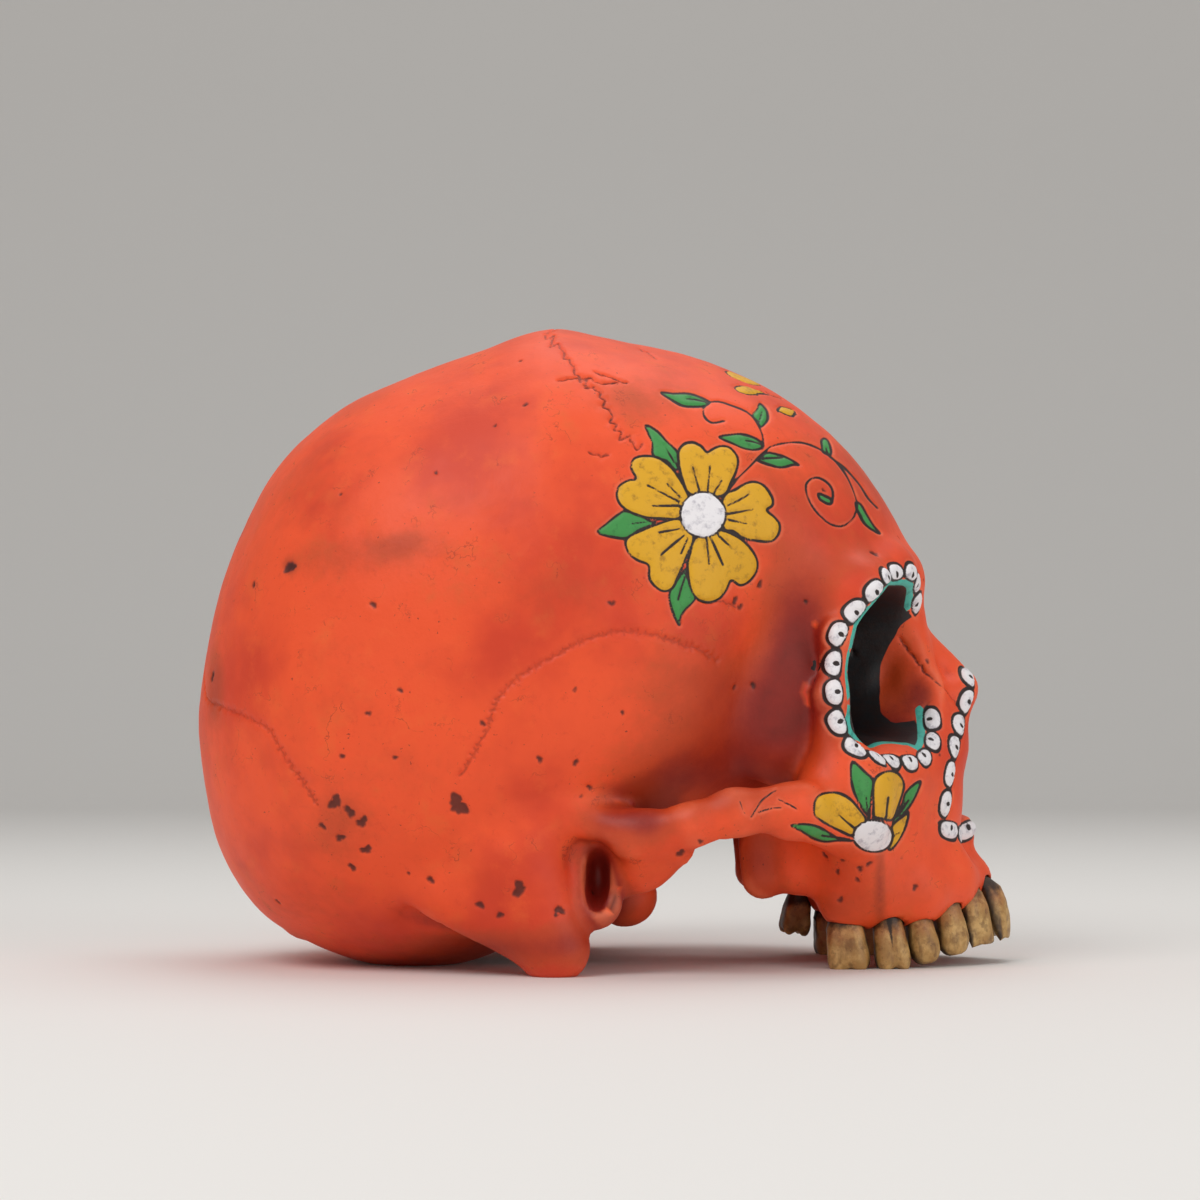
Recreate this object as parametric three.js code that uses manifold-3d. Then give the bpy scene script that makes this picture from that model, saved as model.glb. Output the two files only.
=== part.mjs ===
// A life-size resin skull ornament without its lower jaw: one hollow casting with its upper teeth set in it.
// Millimetres. +X points out of the face, +Y to the skull's own left, and +Z up from the table it rests on.
import * as THREE from "three";
import { mergeVertices } from "three/addons/utils/BufferGeometryUtils.js";
import Module from "manifold-3d";

const wasm = await Module();
wasm.setup();

// Driving dimensions
const skullLength = 204; // back of the head to the front teeth
const skullBreadth = 139; // across the brain case
const skullHeight = 157; // table to crown
const castingWall = 6.5; // between the brain case's outside and its hollow
const foramenLength = 34; // the hole under the brain case, front to back
const foramenBreadth = 30;
const toothSize = 10; // a large molar's crown across the jaw
const toothPitchShare = 0.049; // a large molar's crown along the jaw, of the length
const toothClearance = 0.35; // all round a tooth in its socket
const surfaceCell = 4.8; // facets of the outside, at the face
const hollowCell = 13; // facets of the hollow

// Places are shares of the half length, the half breadth and the height, from the middle of the foot.
// Radii and blends are shares of the height. Every form has a twin on the other side of the middle plane.
const halfSizes = new THREE.Vector3(skullLength / 2, skullBreadth / 2, skullHeight);
const place = (shares) => new THREE.Vector3(...shares).multiply(halfSizes);

// Brain case: its outline in the middle plane, as x and z, from the brow over the crown and back below
const caseOutlineShares = [
  [0.765, 0.599], [0.721, 0.685], [0.642, 0.771], [0.544, 0.841], [0.382, 0.914], [0.186, 0.962],
  [-0.01, 0.989], [-0.147, 1], [-0.324, 0.962], [-0.5, 0.919], [-0.672, 0.86], [-0.804, 0.773],
  [-0.911, 0.632], [-0.966, 0.49], [-0.984, 0.357], [-0.949, 0.21], [-0.868, 0.104], [-0.745, 0.041],
  [-0.549, -0.004], [-0.333, 0.001], [-0.137, 0.057], [0.039, 0.121], [0.196, 0.172], [0.363, 0.248],
  [0.52, 0.338], [0.657, 0.446],
];
const caseCentreShares = [-0.137, 0, 0.497];
const caseSquareness = 2.35; // 2 would make every cross-section an ellipse
const caseWidestShare = -0.294; // where the case is widest, and from where it narrows towards the brow
const caseNarrowingShares = { reach: 1.078, by: 0.2 };

// Forms are rows. A ball has its centre, its radii and its blend. A bar runs from one place to another, with
// a radius at each end, its thickness in y as a share of its depth, and its blend. Cut forms are taken away.
const templeShares = [
  ["ballCut", [0.461, 0.964, 0.363], [0.186, 0.367, 0.268], 0.115],
  ["ball", [0.412, 0.547, 0.42], [0.127, 0.101, 0.14], 0.038],
];
const browShares = [
  ["bar", [0.696, 0, 0.586], [0.696, 0.187, 0.592], 0.041, 0.038, 1, 0.045],
  ["bar", [0.691, 0.173, 0.599], [0.672, 0.36, 0.611], 0.035, 0.033, 1, 0.038],
  ["bar", [0.672, 0.36, 0.611], [0.598, 0.561, 0.58], 0.033, 0.032, 1, 0.038],
  ["bar", [0.598, 0.561, 0.58], [0.54, 0.655, 0.51], 0.03, 0.022, 1, 0.032],
  ["bar", [0.588, 0.547, 0.58], [0.412, 0.518, 0.599], 0.045, 0.057, 1, 0.038],
];
const orbitRimShares = [
  ["bar", [0.54, 0.655, 0.51], [0.525, 0.686, 0.42], 0.022, 0.021, 1, 0.021],
  ["bar", [0.525, 0.686, 0.42], [0.541, 0.66, 0.318], 0.021, 0.037, 1, 0.029],
  ["bar", [0.588, 0.633, 0.293], [0.686, 0.432, 0.296], 0.038, 0.035, 1, 0.038],
  ["bar", [0.686, 0.432, 0.296], [0.755, 0.259, 0.312], 0.035, 0.032, 1, 0.038],
];
const cheekShares = [
  ["ball", [0.559, 0.64, 0.264], [0.108, 0.129, 0.07], 0.038],
  ["bar", [0.431, 0.791, 0.245], [0.569, 0.619, 0.242], 0.041, 0.051, 0.75, 0.038],
  ["bar", [0.578, 0.576, 0.223], [0.627, 0.446, 0.14], 0.038, 0.038, 1, 0.045],
  ["bar", [0.471, 0.41, 0.312], [0.627, 0.475, 0.303], 0.045, 0.041, 1, 0.038],
];
const archShares = [
  ["bar", [0.451, 0.806, 0.252], [0.294, 0.878, 0.246], 0.038, 0.032, 0.7, 0.025],
  ["bar", [0.294, 0.878, 0.246], [0.196, 0.892, 0.227], 0.032, 0.028, 0.75, 0.025],
  ["bar", [0.196, 0.892, 0.227], [0.069, 0.849, 0.213], 0.028, 0.032, 0.8, 0.025],
  ["bar", [0.069, 0.849, 0.213], [-0.098, 0.82, 0.242], 0.029, 0.025, 1, 0.038],
];
const earShares = [
  ["bar", [0.157, 0.791, 0.194], [0.088, 0.719, 0.172], 0.032, 0.038, 1, 0.032],
  ["bar", [0.088, 0.719, 0.172], [0.02, 0.604, 0.153], 0.038, 0.045, 1, 0.032],
  ["bar", [-0.206, 0.719, 0.178], [-0.108, 0.755, 0.038], 0.089, 0.045, 1, 0.038],
  ["bar", [-0.353, 0.676, 0.127], [-0.137, 0.734, 0.051], 0.057, 0.045, 1, 0.045],
  ["bar", [-0.027, 0.705, 0.172], [-0.027, 0.719, 0.111], 0.045, 0.043, 1, 0.019],
];
const noseShares = [
  ["bar", [0.647, 0, 0.535], [0.686, 0, 0.395], 0.064, 0.064, 1, 0.038],
  ["bar", [0.743, 0.029, 0.513], [0.868, 0.04, 0.438], 0.031, 0.027, 1, 0.032],
  ["bar", [0.725, 0.129, 0.535], [0.765, 0.187, 0.42], 0.032, 0.031, 1, 0.038],
  ["bar", [0.765, 0.187, 0.42], [0.775, 0.245, 0.331], 0.031, 0.035, 1, 0.038],
  ["bar", [0.859, 0.097, 0.419], [0.825, 0.165, 0.344], 0.028, 0.028, 1, 0.032],
  ["bar", [0.825, 0.165, 0.344], [0.787, 0.194, 0.268], 0.028, 0.028, 1, 0.032],
  ["bar", [0.787, 0.194, 0.268], [0.814, 0.086, 0.206], 0.027, 0.026, 1, 0.025],
  ["bar", [0.814, 0, 0.191], [0.871, 0, 0.21], 0.032, 0.021, 1, 0.019],
];
const upperJawShares = [
  ["ball", [0.637, 0.144, 0.268], [0.206, 0.317, 0.153], 0.051],
  ["ball", [0.588, 0.345, 0.217], [0.137, 0.173, 0.127], 0.051],
  ["bar", [0.892, 0.029, 0.13], [0.828, 0.201, 0.126], 0.032, 0.037, 1, 0.025],
  ["bar", [0.828, 0.201, 0.126], [0.745, 0.309, 0.112], 0.037, 0.041, 1, 0.032],
  ["bar", [0.745, 0.309, 0.112], [0.578, 0.374, 0.1], 0.041, 0.043, 1, 0.032],
  ["bar", [0.874, 0, 0.138], [0.844, 0, 0.19], 0.031, 0.031, 1, 0.025],
  ["bar", [0.804, 0.201, 0.153], [0.755, 0.23, 0.255], 0.041, 0.041, 1, 0.038],
  ["bar", [0.725, 0.302, 0.14], [0.676, 0.36, 0.255], 0.045, 0.045, 1, 0.038],
];
const baseShares = [
  ["ball", [0.392, 0.086, 0.318], [0.216, 0.23, 0.089], 0.051],
  ["bar", [0.373, 0.288, 0.242], [0.377, 0.302, 0.139], 0.038, 0.033, 0.7, 0.032],
  ["bar", [0.451, 0.302, 0.229], [0.461, 0.331, 0.146], 0.038, 0.032, 0.9, 0.032],
  ["ball", [0.049, 0.187, 0.105], [0.078, 0.094, 0.048], 0.025],
  ["ball", [-0.74, 0, 0.062], [0.039, 0.072, 0.023], 0.019],
];
const openingShares = [
  ["ballCut", [0.627, 0, 0.019], [0.235, 0.259, 0.124], 0.032],
  ["barCut", [0.98, 0, 0.382], [0.686, 0, 0.369], 0.027, 0.027, 1, 0.019],
  ["barCut", [0.98, 0.05, 0.325], [0.647, 0.043, 0.318], 0.043, 0.038, 1, 0.019],
  ["barCut", [0.961, 0.065, 0.277], [0.647, 0.058, 0.28], 0.045, 0.041, 1, 0.019],
  ["ballCut", [-0.015, 0.878, 0.146], [0.037, 0.23, 0.053], 0.013],
  ["barCut", [-0.451, 0.676, 0.083], [-0.235, 0.633, 0.045], 0.019, 0.019, 1, 0.025],
];

// Eye sockets: horns that open from their apex to their mouth
const orbitApexShares = [0.294, 0.18, 0.439];
const orbitMouthShares = [0.667, 0.439, 0.465];
const orbitHalfShares = { across: 0.11, up: 0.115, flare: 1.3, edge: 0.013 };
const orbitSquareness = 2.6;

// The hollow keeps these multiples of the wall from the eye sockets and the temples.
const hollowGapShares = { orbit: 1.5, temple: 1.6, blend: 0.045 };
const foramenCentreShares = [-0.186, 0, 0.08];
const foramenReachShare = 0.25;

// Teeth: root end, neck and biting edge, then the crown's width, of the tooth pitch, and its depth, of the
// tooth size
const toothShares = [
  ["central_incisor", "edge", [0.868, 0.06, 0.158], [0.936, 0.066, 0.114], [0.974, 0.076, 0.039], 0.96, 0.68],
  ["lateral_incisor", "edge", [0.838, 0.148, 0.157], [0.882, 0.171, 0.108], [0.912, 0.192, 0.032], 0.88, 0.6],
  ["canine", "point", [0.803, 0.236, 0.15], [0.818, 0.259, 0.094], [0.84, 0.282, 0.018], 0.84, 0.78],
  ["premolar", "point", [0.737, 0.311, 0.131], [0.747, 0.325, 0.076], [0.769, 0.342, 0.006], 0.76, 0.88],
  ["first_molar", "molar", [0.669, 0.351, 0.121], [0.673, 0.363, 0.065], [0.688, 0.374, -0.003], 0.9, 0.98],
  ["second_molar", "molar", [0.576, 0.371, 0.121], [0.571, 0.38, 0.062], [0.583, 0.386, -0.003], 1.1, 1],
];
const thirdMolarShares = [
  ["third_molar", "molar", [0.5, 0.375, 0.127], [0.486, 0.38, 0.08], [0.477, 0.386, 0.035], 0.8, 0.84],
];
const jawCentreShares = [0.647, 0, 0];
const jawOvalShare = 0.45; // how far a tooth turns towards the front with its place along the jaw

// Rings of a tooth: station (of the root below 0, of the crown above), width and depth of the crown's own
const toothRingShares = {
  edge: [
    [-1, 0.3, 0.35], [-0.5, 0.5, 0.62], [0, 0.82, 0.86], [0.35, 0.94, 0.95], [0.75, 1, 0.66], [1, 0.93, 0.28],
  ],
  point: [
    [-1, 0.3, 0.35], [-0.5, 0.54, 0.64], [0, 0.81, 0.83], [0.35, 0.93, 0.95], [0.72, 1, 0.88],
    [0.93, 0.72, 0.6], [1, 0.36, 0.36],
  ],
  molar: [
    [-1, 0.42, 0.42], [-0.5, 0.66, 0.66], [0, 0.85, 0.84], [0.4, 0.95, 0.95], [0.75, 1, 1],
    [0.96, 0.86, 0.86], [1, 0.6, 0.6],
  ],
};
const cuspShares = { groove: 0.07, pit: 0.12 };

const RESIN = { color: 0xe8552d, roughness: 0.5, metalness: 0 };
const TOOTH = { color: 0xa8834a, roughness: 0.45, metalness: 0 };

// Radius of the brain case's outline about its centre, by angle
const caseCentre = place(caseCentreShares);
const outlineSteps = 360;
const outlineTable = new THREE.CatmullRomCurve3(
  caseOutlineShares.map(([x, z]) => place([x, 0, z])),
  true,
  "catmullrom",
)
  .getPoints(outlineSteps)
  .slice(0, -1)
  .map((p) => p.sub(caseCentre))
  .map((p) => ({ angle: Math.atan2(p.z, p.x), radius: Math.hypot(p.x, p.z) }))
  .sort((a, b) => a.angle - b.angle);

function outlineRadius(angle) {
  let low = 0;
  let high = outlineTable.length;
  while (low < high) {
    const middle = (low + high) >> 1;
    if (outlineTable[middle].angle < angle) low = middle + 1;
    else high = middle;
  }
  const after = outlineTable[low % outlineTable.length];
  const before = outlineTable[(low + outlineTable.length - 1) % outlineTable.length];
  const turn = 2 * Math.PI;
  const span = (after.angle - before.angle + turn) % turn;
  const part = ((angle - before.angle + turn) % turn) / span;
  return before.radius + (after.radius - before.radius) * part;
}

// Fields give a place's distance to a form, below zero inside it. y is the distance from the middle plane.
function brainCaseField(x, y, z) {
  const dx = x - caseCentre.x;
  const dz = z - caseCentre.z;
  const narrowing = ((2 * x) / skullLength - caseWidestShare) / caseNarrowingShares.reach;
  const taper = 1 - caseNarrowingShares.by * Math.min(1, Math.max(0, narrowing)) ** 2;
  const along = Math.hypot(dx, dz) / outlineRadius(Math.atan2(dz, dx));
  const across = y / ((skullBreadth / 2) * taper);
  const size = (along ** caseSquareness + across ** caseSquareness) ** (1 / caseSquareness);
  return size > 0 ? Math.hypot(dx, y, dz) * (1 - 1 / size) : -skullBreadth / 2;
}

function ballField(centre, radii) {
  return (x, y, z) => {
    const p = new THREE.Vector3(x, y, z).sub(centre).divide(radii);
    const reach = p.length();
    const slope = p.divide(radii).length();
    return slope > 0 ? (reach * (reach - 1)) / slope : -Math.min(radii.x, radii.y, radii.z);
  };
}

function barField(from, to, radiusFrom, radiusTo, thickness) {
  const run = to.clone().sub(from);
  return (x, y, z) => {
    const p = new THREE.Vector3(x, y, z).sub(from);
    const part = Math.min(1, Math.max(0, p.dot(run) / run.lengthSq()));
    p.addScaledVector(run, -part);
    const real = p.length();
    const scaled = Math.hypot(p.x, p.y / thickness, p.z);
    const radius = radiusFrom + (radiusTo - radiusFrom) * part;
    return scaled > 0 ? ((scaled - radius) * real) / scaled : -radius * thickness;
  };
}

function orbitField() {
  const apex = place(orbitApexShares);
  const mouth = place(orbitMouthShares);
  const depth = mouth.distanceTo(apex);
  const axis = mouth.clone().sub(apex).normalize();
  const up = new THREE.Vector3(0, 0, 1).projectOnPlane(axis).normalize();
  const side = axis.clone().cross(up);
  return (x, y, z) => {
    const p = new THREE.Vector3(x, y, z).sub(apex);
    const along = p.dot(axis);
    if (along <= 0) return p.length();
    const open = Math.sqrt(Math.min(along / depth, orbitHalfShares.flare)) * skullHeight;
    const halfAcross = orbitHalfShares.across * open;
    const halfUp = orbitHalfShares.up * open;
    const a = Math.abs(p.dot(side)) / halfAcross;
    const b = Math.abs(p.dot(up)) / halfUp;
    const size = (a ** orbitSquareness + b ** orbitSquareness) ** (1 / orbitSquareness);
    return (size - 1) * Math.min(halfAcross, halfUp);
  };
}

const smoothMin = (a, b, blend) => Math.min(a, b) - (Math.max(blend - Math.abs(a - b), 0) ** 2) / (4 * blend);
const smoothMax = (a, b, blend) => -smoothMin(-a, -b, blend);

function formOf([kind, from, to, ...rest]) {
  const blend = rest.at(-1) * skullHeight;
  const [radiusFrom, radiusTo, thickness] = rest;
  const field = kind.startsWith("ball")
    ? ballField(place(from), place(to))
    : barField(place(from), place(to), radiusFrom * skullHeight, radiusTo * skullHeight, thickness);
  return { field, blend, cut: kind.endsWith("Cut") };
}

const orbit = orbitField();
const [temple] = templeShares.map(formOf);
const forms = [
  templeShares, browShares, orbitRimShares, cheekShares, archShares, earShares, noseShares, upperJawShares,
  baseShares, openingShares,
].flatMap((rows) => rows.map(formOf));

function outsideField(x, sideways, z) {
  const y = Math.abs(sideways);
  let distance = brainCaseField(x, y, z);
  for (const { field, blend, cut } of forms) {
    const form = field(x, y, z);
    distance = cut ? smoothMax(distance, -form, blend) : smoothMin(distance, form, blend);
  }
  return smoothMax(distance, -orbit(x, y, z), orbitHalfShares.edge * skullHeight);
}

function hollowField(x, sideways, z) {
  const y = Math.abs(sideways);
  const blend = hollowGapShares.blend * skullHeight;
  const fromCase = brainCaseField(x, y, z) + castingWall;
  const fromOrbit = castingWall * hollowGapShares.orbit - orbit(x, y, z);
  const fromTemple = castingWall * hollowGapShares.temple - temple.field(x, y, z);
  return smoothMax(smoothMax(fromCase, fromOrbit, blend), fromTemple, blend);
}

// Surface of a field as one closed mesh. A grid has its counts of nodes and a function that places a node.
// A cell's corners are numbered by one bit for each axis, and an edge joins two that differ in one bit.
const axes = [...Array(3).keys()];
const cellCorners = [...Array(8).keys()].map((corner) => axes.map((axis) => (corner >> axis) & 1));
const cellEdges = cellCorners.flatMap((bits, corner) =>
  axes.filter((axis) => !bits[axis]).map((axis) => [corner, corner | (1 << axis)]),
);
const cellFaces = axes.flatMap((axis) => {
  const [u, v, w] = axes.map((step) => 1 << ((axis + step) % 3));
  return [0, w].map((side) => [side, side | u, side | u | v, side | v]);
});
const edgeBetween = (a, b) => cellEdges.findIndex(([p, q]) => p === Math.min(a, b) && q === Math.max(a, b));

// Sheets of surface in one cell, each as the list of cell edges that it crosses
function sheetsOfCell(inside) {
  const links = cellEdges.map(() => []);
  for (const face of cellFaces) {
    const edge = (q) => edgeBetween(face[q % 4], face[(q + 1) % 4]);
    const crossed = [0, 1, 2, 3].filter((q) => inside[face[q]] !== inside[face[(q + 1) % 4]]);
    const pairs = crossed.length === 2 ? [[edge(crossed[0]), edge(crossed[1])]] : [];
    if (crossed.length === 4) {
      for (let q = 0; q < 4; q++) if (inside[face[q]]) pairs.push([edge(q + 3), edge(q)]);
    }
    for (const [a, b] of pairs) {
      links[a].push(b);
      links[b].push(a);
    }
  }
  const seen = new Set();
  const sheets = [];
  links.forEach((near, start) => {
    if (!near.length || seen.has(start)) return;
    const sheet = [];
    const open = [start];
    while (open.length) {
      const edge = open.pop();
      if (seen.has(edge)) continue;
      seen.add(edge);
      sheet.push(edge);
      open.push(...links[edge]);
    }
    sheets.push(sheet);
  });
  return sheets;
}

// A point settles on the surface by steps along the field's slope; relaxing evens the points out between.
const settleShares = { probe: 0.01, longest: 0.25, flattest: 0.3 };
const settlePasses = 3;

function settle(point, field, cell) {
  const probe = cell * settleShares.probe;
  const longest = cell * settleShares.longest;
  for (let pass = 0; pass < settlePasses; pass++) {
    const here = field(...point);
    const slope = axes.map((c) => (field(...point.map((v, i) => (i === c ? v + probe : v))) - here) / probe);
    const steepness = Math.max(settleShares.flattest, slope[0] ** 2 + slope[1] ** 2 + slope[2] ** 2);
    const step = Math.max(-longest, Math.min(longest, here / steepness));
    for (const c of axes) point[c] -= step * slope[c];
  }
}

function relax(points, triangles, field, cell) {
  const near = points.map(() => new Set());
  for (let t = 0; t < triangles.length; t += 3) {
    for (let e = 0; e < 3; e++) near[triangles[t + e]].add(triangles[t + ((e + 1) % 3)]);
  }
  for (let pass = 0; pass < settlePasses; pass++) {
    const moved = points.map((point, p) => {
      const mean = [0, 0, 0];
      for (const other of near[p]) points[other].forEach((v, c) => (mean[c] += v / near[p].size));
      return point.map((v, c) => (v + mean[c]) / 2);
    });
    moved.forEach((point, p) => {
      settle(point, field, cell);
      points[p] = point;
    });
  }
}

function surfaceOf(field, { counts, node, cell }) {
  const [nx, ny, nz] = counts;
  const at = (i, j, k) => (i * ny + j) * nz + k;
  const value = new Float64Array(nx * ny * nz);
  for (let i = 0; i < nx; i++)
    for (let j = 0; j < ny; j++)
      for (let k = 0; k < nz; k++) value[at(i, j, k)] = field(...node(i, j, k));

  // A crossed grid edge is shared by four cells: its key is its lower node, direction and side.
  const keyOf = (i, j, k, a, b) => {
    const along = a.findIndex((v, c) => v !== b[c]);
    const low = at(i + Math.min(a[0], b[0]), j + Math.min(a[1], b[1]), k + Math.min(a[2], b[2]));
    return (low * 3 + along) * 4 + a[(along + 1) % 3] + 2 * a[(along + 2) % 3];
  };
  const points = [];
  const pointAt = new Map();
  for (let i = 0; i < nx - 1; i++)
    for (let j = 0; j < ny - 1; j++)
      for (let k = 0; k < nz - 1; k++) {
        const values = cellCorners.map(([a, b, c]) => value[at(i + a, j + b, k + c)]);
        const inside = values.map((v) => v < 0);
        if (inside.every((v) => v === inside[0])) continue;
        for (const sheet of sheetsOfCell(inside)) {
          const point = [0, 0, 0];
          for (const edge of sheet) {
            const [a, b] = cellEdges[edge];
            const [from, to] = [cellCorners[a], cellCorners[b]];
            const part = values[a] / (values[a] - values[b]);
            const start = node(i + from[0], j + from[1], k + from[2]);
            const end = node(i + to[0], j + to[1], k + to[2]);
            start.forEach((v, c) => (point[c] += (v + (end[c] - v) * part) / sheet.length));
            pointAt.set(keyOf(i, j, k, from, to), points.length);
          }
          points.push(point);
        }
      }
  points.forEach((point) => settle(point, field, cell));

  const triangles = [];
  const gap = (a, b) => Math.hypot(...points[a].map((v, c) => v - points[b][c]));
  const addQuad = (ring) => {
    const turn = gap(ring[0], ring[2]) < gap(ring[1], ring[3]) ? 0 : 1;
    const [a, b, c, d] = [0, 1, 2, 3].map((q) => ring[(q + turn) % 4]);
    triangles.push(a, b, c, a, c, d);
  };
  for (let i = 0; i < nx - 1; i++)
    for (let j = 0; j < ny - 1; j++)
      for (let k = 0; k < nz - 1; k++)
        for (const along of axes) {
          const here = value[at(i, j, k)] < 0;
          const next = value[at(i + (along === 0), j + (along === 1), k + (along === 2))] < 0;
          if (here === next) continue;
          const key = (at(i, j, k) * 3 + along) * 4;
          const ring = [3, 2, 0, 1].map((side) => pointAt.get(key + side));
          addQuad(here ? ring : ring.reverse());
        }
  relax(points, triangles, field, cell);
  return meshGeometry(points, triangles);
}

function meshGeometry(points, triangles) {
  const geometry = new THREE.BufferGeometry();
  geometry.setAttribute("position", new THREE.Float32BufferAttribute(points.flat(), 3));
  geometry.setIndex(triangles);
  return geometry;
}

// The outside's cells stay small round a line from the ears to the nose and grow away from it.
const focusBackShares = [-0.05, 0, 0.12];
const focusFrontShares = [0.76, 0, 0.42];
const focusShares = { growth: 7, reach: 0.24, sideways: 0.15 };
const outsideLowShares = [-0.8, 0, -0.1];
const outsideHighShares = [1.04, 1.04, 0.8];

// An even count across puts the two middle rows of nodes one on each side of the middle plane.
function gridCounts(size, cell) {
  const [x, y, z] = size.clone().divideScalar(cell).ceil().toArray();
  return [x, 2 * y, z];
}

function outsideGrid() {
  const back = place(focusBackShares);
  const run = place(focusFrontShares).sub(back);
  const low = place(outsideLowShares);
  const size = place(outsideHighShares).sub(low);
  const counts = gridCounts(size, surfaceCell);
  const node = (i, j, k) => {
    const p = new THREE.Vector3(i, j - (counts[1] - 1) / 2, k).multiplyScalar(surfaceCell);
    p.add(new THREE.Vector3(low.x, 0, low.z));
    const part = Math.min(1, Math.max(0, p.clone().sub(back).dot(run) / run.lengthSq()));
    const near = back.clone().addScaledVector(run, part);
    p.sub(near);
    const away = Math.hypot(p.x, p.y * focusShares.sideways, p.z) / skullHeight;
    return near.addScaledVector(p, 1 + focusShares.growth * Math.max(0, away - focusShares.reach)).toArray();
  };
  return { counts, node, cell: surfaceCell };
}

const hollowLowShares = [-1.08, 0, -0.04];
const hollowHighShares = [1, 1.1, 1.05];

function hollowGrid() {
  const low = place(hollowLowShares);
  const size = place(hollowHighShares).sub(low);
  const counts = gridCounts(size, hollowCell);
  const node = (i, j, k) => [
    low.x + i * hollowCell,
    (j - (counts[1] - 1) / 2) * hollowCell,
    low.z + k * hollowCell,
  ];
  return { counts, node, cell: hollowCell };
}

// Closed meshes become solids here, to be joined and cut.
function solidOf(source) {
  const bare = source.clone();
  bare.deleteAttribute("normal");
  bare.deleteAttribute("uv");
  const { attributes, index } = mergeVertices(bare);
  const vertProperties = attributes.position.array;
  const triVerts = new Uint32Array(index.array);
  return new wasm.Manifold(new wasm.Mesh({ numProp: 3, vertProperties, triVerts }));
}

function named(name, solid, finish) {
  const { vertProperties, triVerts } = solid.getMesh();
  const geometry = new THREE.BufferGeometry();
  geometry.setAttribute("position", new THREE.BufferAttribute(vertProperties, 3));
  geometry.setIndex(new THREE.BufferAttribute(triVerts, 1));
  const mesh = new THREE.Mesh(geometry, new THREE.MeshStandardMaterial(finish));
  mesh.name = name;
  return mesh;
}

// A tooth's rings follow its root and then its crown; side is 1 on the left and -1 on the right.
function toothSolid([, kind, rootEnd, neck, edge, width, depth], side, grow) {
  const mirror = (shares) => place(shares).multiply(new THREE.Vector3(1, side, 1));
  const [root, collar, bite] = [rootEnd, neck, edge].map(mirror);
  const axis = bite.clone().sub(collar).normalize();
  const out = collar.clone().sub(place(jawCentreShares)).setZ(0);
  out.x *= jawOvalShare;
  out.projectOnPlane(axis).normalize();
  const along = out.clone().cross(axis);
  const sides = kind === "molar" ? 16 : 12;
  const rings = toothRingShares[kind].map(([station, widthShare, depthShare]) => {
    const centre = collar.clone().lerp(station < 0 ? root : bite, Math.abs(station));
    if (Math.abs(station) === 1) centre.addScaledVector(axis, station * grow);
    return [...Array(sides).keys()].map((i) => {
      const turn = (2 * Math.PI * i) / sides;
      const lobe = kind === "molar" && station > 0 ? 1 - cuspShares.groove * Math.cos(4 * turn) : 1;
      const halfWidth = (widthShare * width * skullLength * toothPitchShare) / 2 + grow;
      const halfDepth = (depthShare * depth * toothSize) / 2 + grow;
      const point = centre.clone().addScaledVector(along, Math.cos(turn) * lobe * halfWidth);
      return point.addScaledVector(out, Math.sin(turn) * lobe * halfDepth).toArray();
    });
  });
  const middle = (ring) => ring[0].map((_, c) => ring.reduce((sum, p) => sum + p[c], 0) / ring.length);
  const pit = new THREE.Vector3(...middle(rings.at(-1)));
  if (kind === "molar") pit.addScaledVector(axis, -cuspShares.pit * toothSize);
  const points = [...rings.flat(), middle(rings[0]), pit.toArray()];
  const last = (rings.length - 1) * sides;
  const triangles = [];
  for (let i = 0; i < sides; i++) {
    const j = (i + 1) % sides;
    for (let ring = 0; ring < last; ring += sides) {
      triangles.push(ring + i, ring + j, ring + sides + j, ring + i, ring + sides + j, ring + sides + i);
    }
    triangles.push(points.length - 2, j, i, points.length - 1, last + i, last + j);
  }
  return solidOf(meshGeometry(points, triangles));
}

// The resting places are ground flat on the table, down to the depth of this block.
function tableSolid() {
  const [across, deep] = [2 * skullLength, skullHeight / 10];
  return solidOf(new THREE.BoxGeometry(across, across, deep).translate(0, 0, -deep / 2));
}

function foramenSolid() {
  const centre = place(foramenCentreShares);
  const shaft = new THREE.CylinderGeometry(1, 1, 1, 24).rotateX(Math.PI / 2);
  shaft.scale(foramenLength / 2, foramenBreadth / 2, foramenReachShare * skullHeight);
  return solidOf(shaft.translate(centre.x, centre.y, centre.z));
}

function craniumSolid(teeth) {
  const hollow = solidOf(surfaceOf(hollowField, hollowGrid())).add(foramenSolid());
  const casting = solidOf(surfaceOf(outsideField, outsideGrid())).subtract(hollow);
  return teeth.reduce((rest, { row, side }) => rest.subtract(toothSolid(row, side, toothClearance)), casting);
}

const teeth = [
  ...[-1, 1].flatMap((side) => toothShares.map((row) => ({ row, side }))),
  ...thirdMolarShares.map((row) => ({ row, side: 1 })),
];
const table = tableSolid();
const skull = new THREE.Group();
skull.add(named("cranium", craniumSolid(teeth).subtract(table), RESIN));
for (const { row, side } of teeth) {
  const name = `${row[0]}_${side > 0 ? "left" : "right"}`;
  skull.add(named(name, toothSolid(row, side, 0).subtract(table), TOOTH));
}

// The origin is under the middle of the whole skull.
const box = new THREE.Box3().setFromObject(skull);
skull.position.x = -(box.min.x + box.max.x) / 2;

export default skull;
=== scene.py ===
# A life-size resin skull ornament without its lower jaw, cast in one hollow piece and painted by hand:
# orange with a dark wash, painted shade in its hollows and painted highlight on what stands proud, yellow and green
# flowers, white scallops round the sockets, and thirteen ochre teeth.
# Shapes are worked out in millimetres and become metres when a mesh is made.
# +X points out of the face, +Y to the skull's own left, and +Z up from the table.
import math

import bpy
import numpy as np
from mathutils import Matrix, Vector, noise
from mathutils.bvhtree import BVHTree


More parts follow.
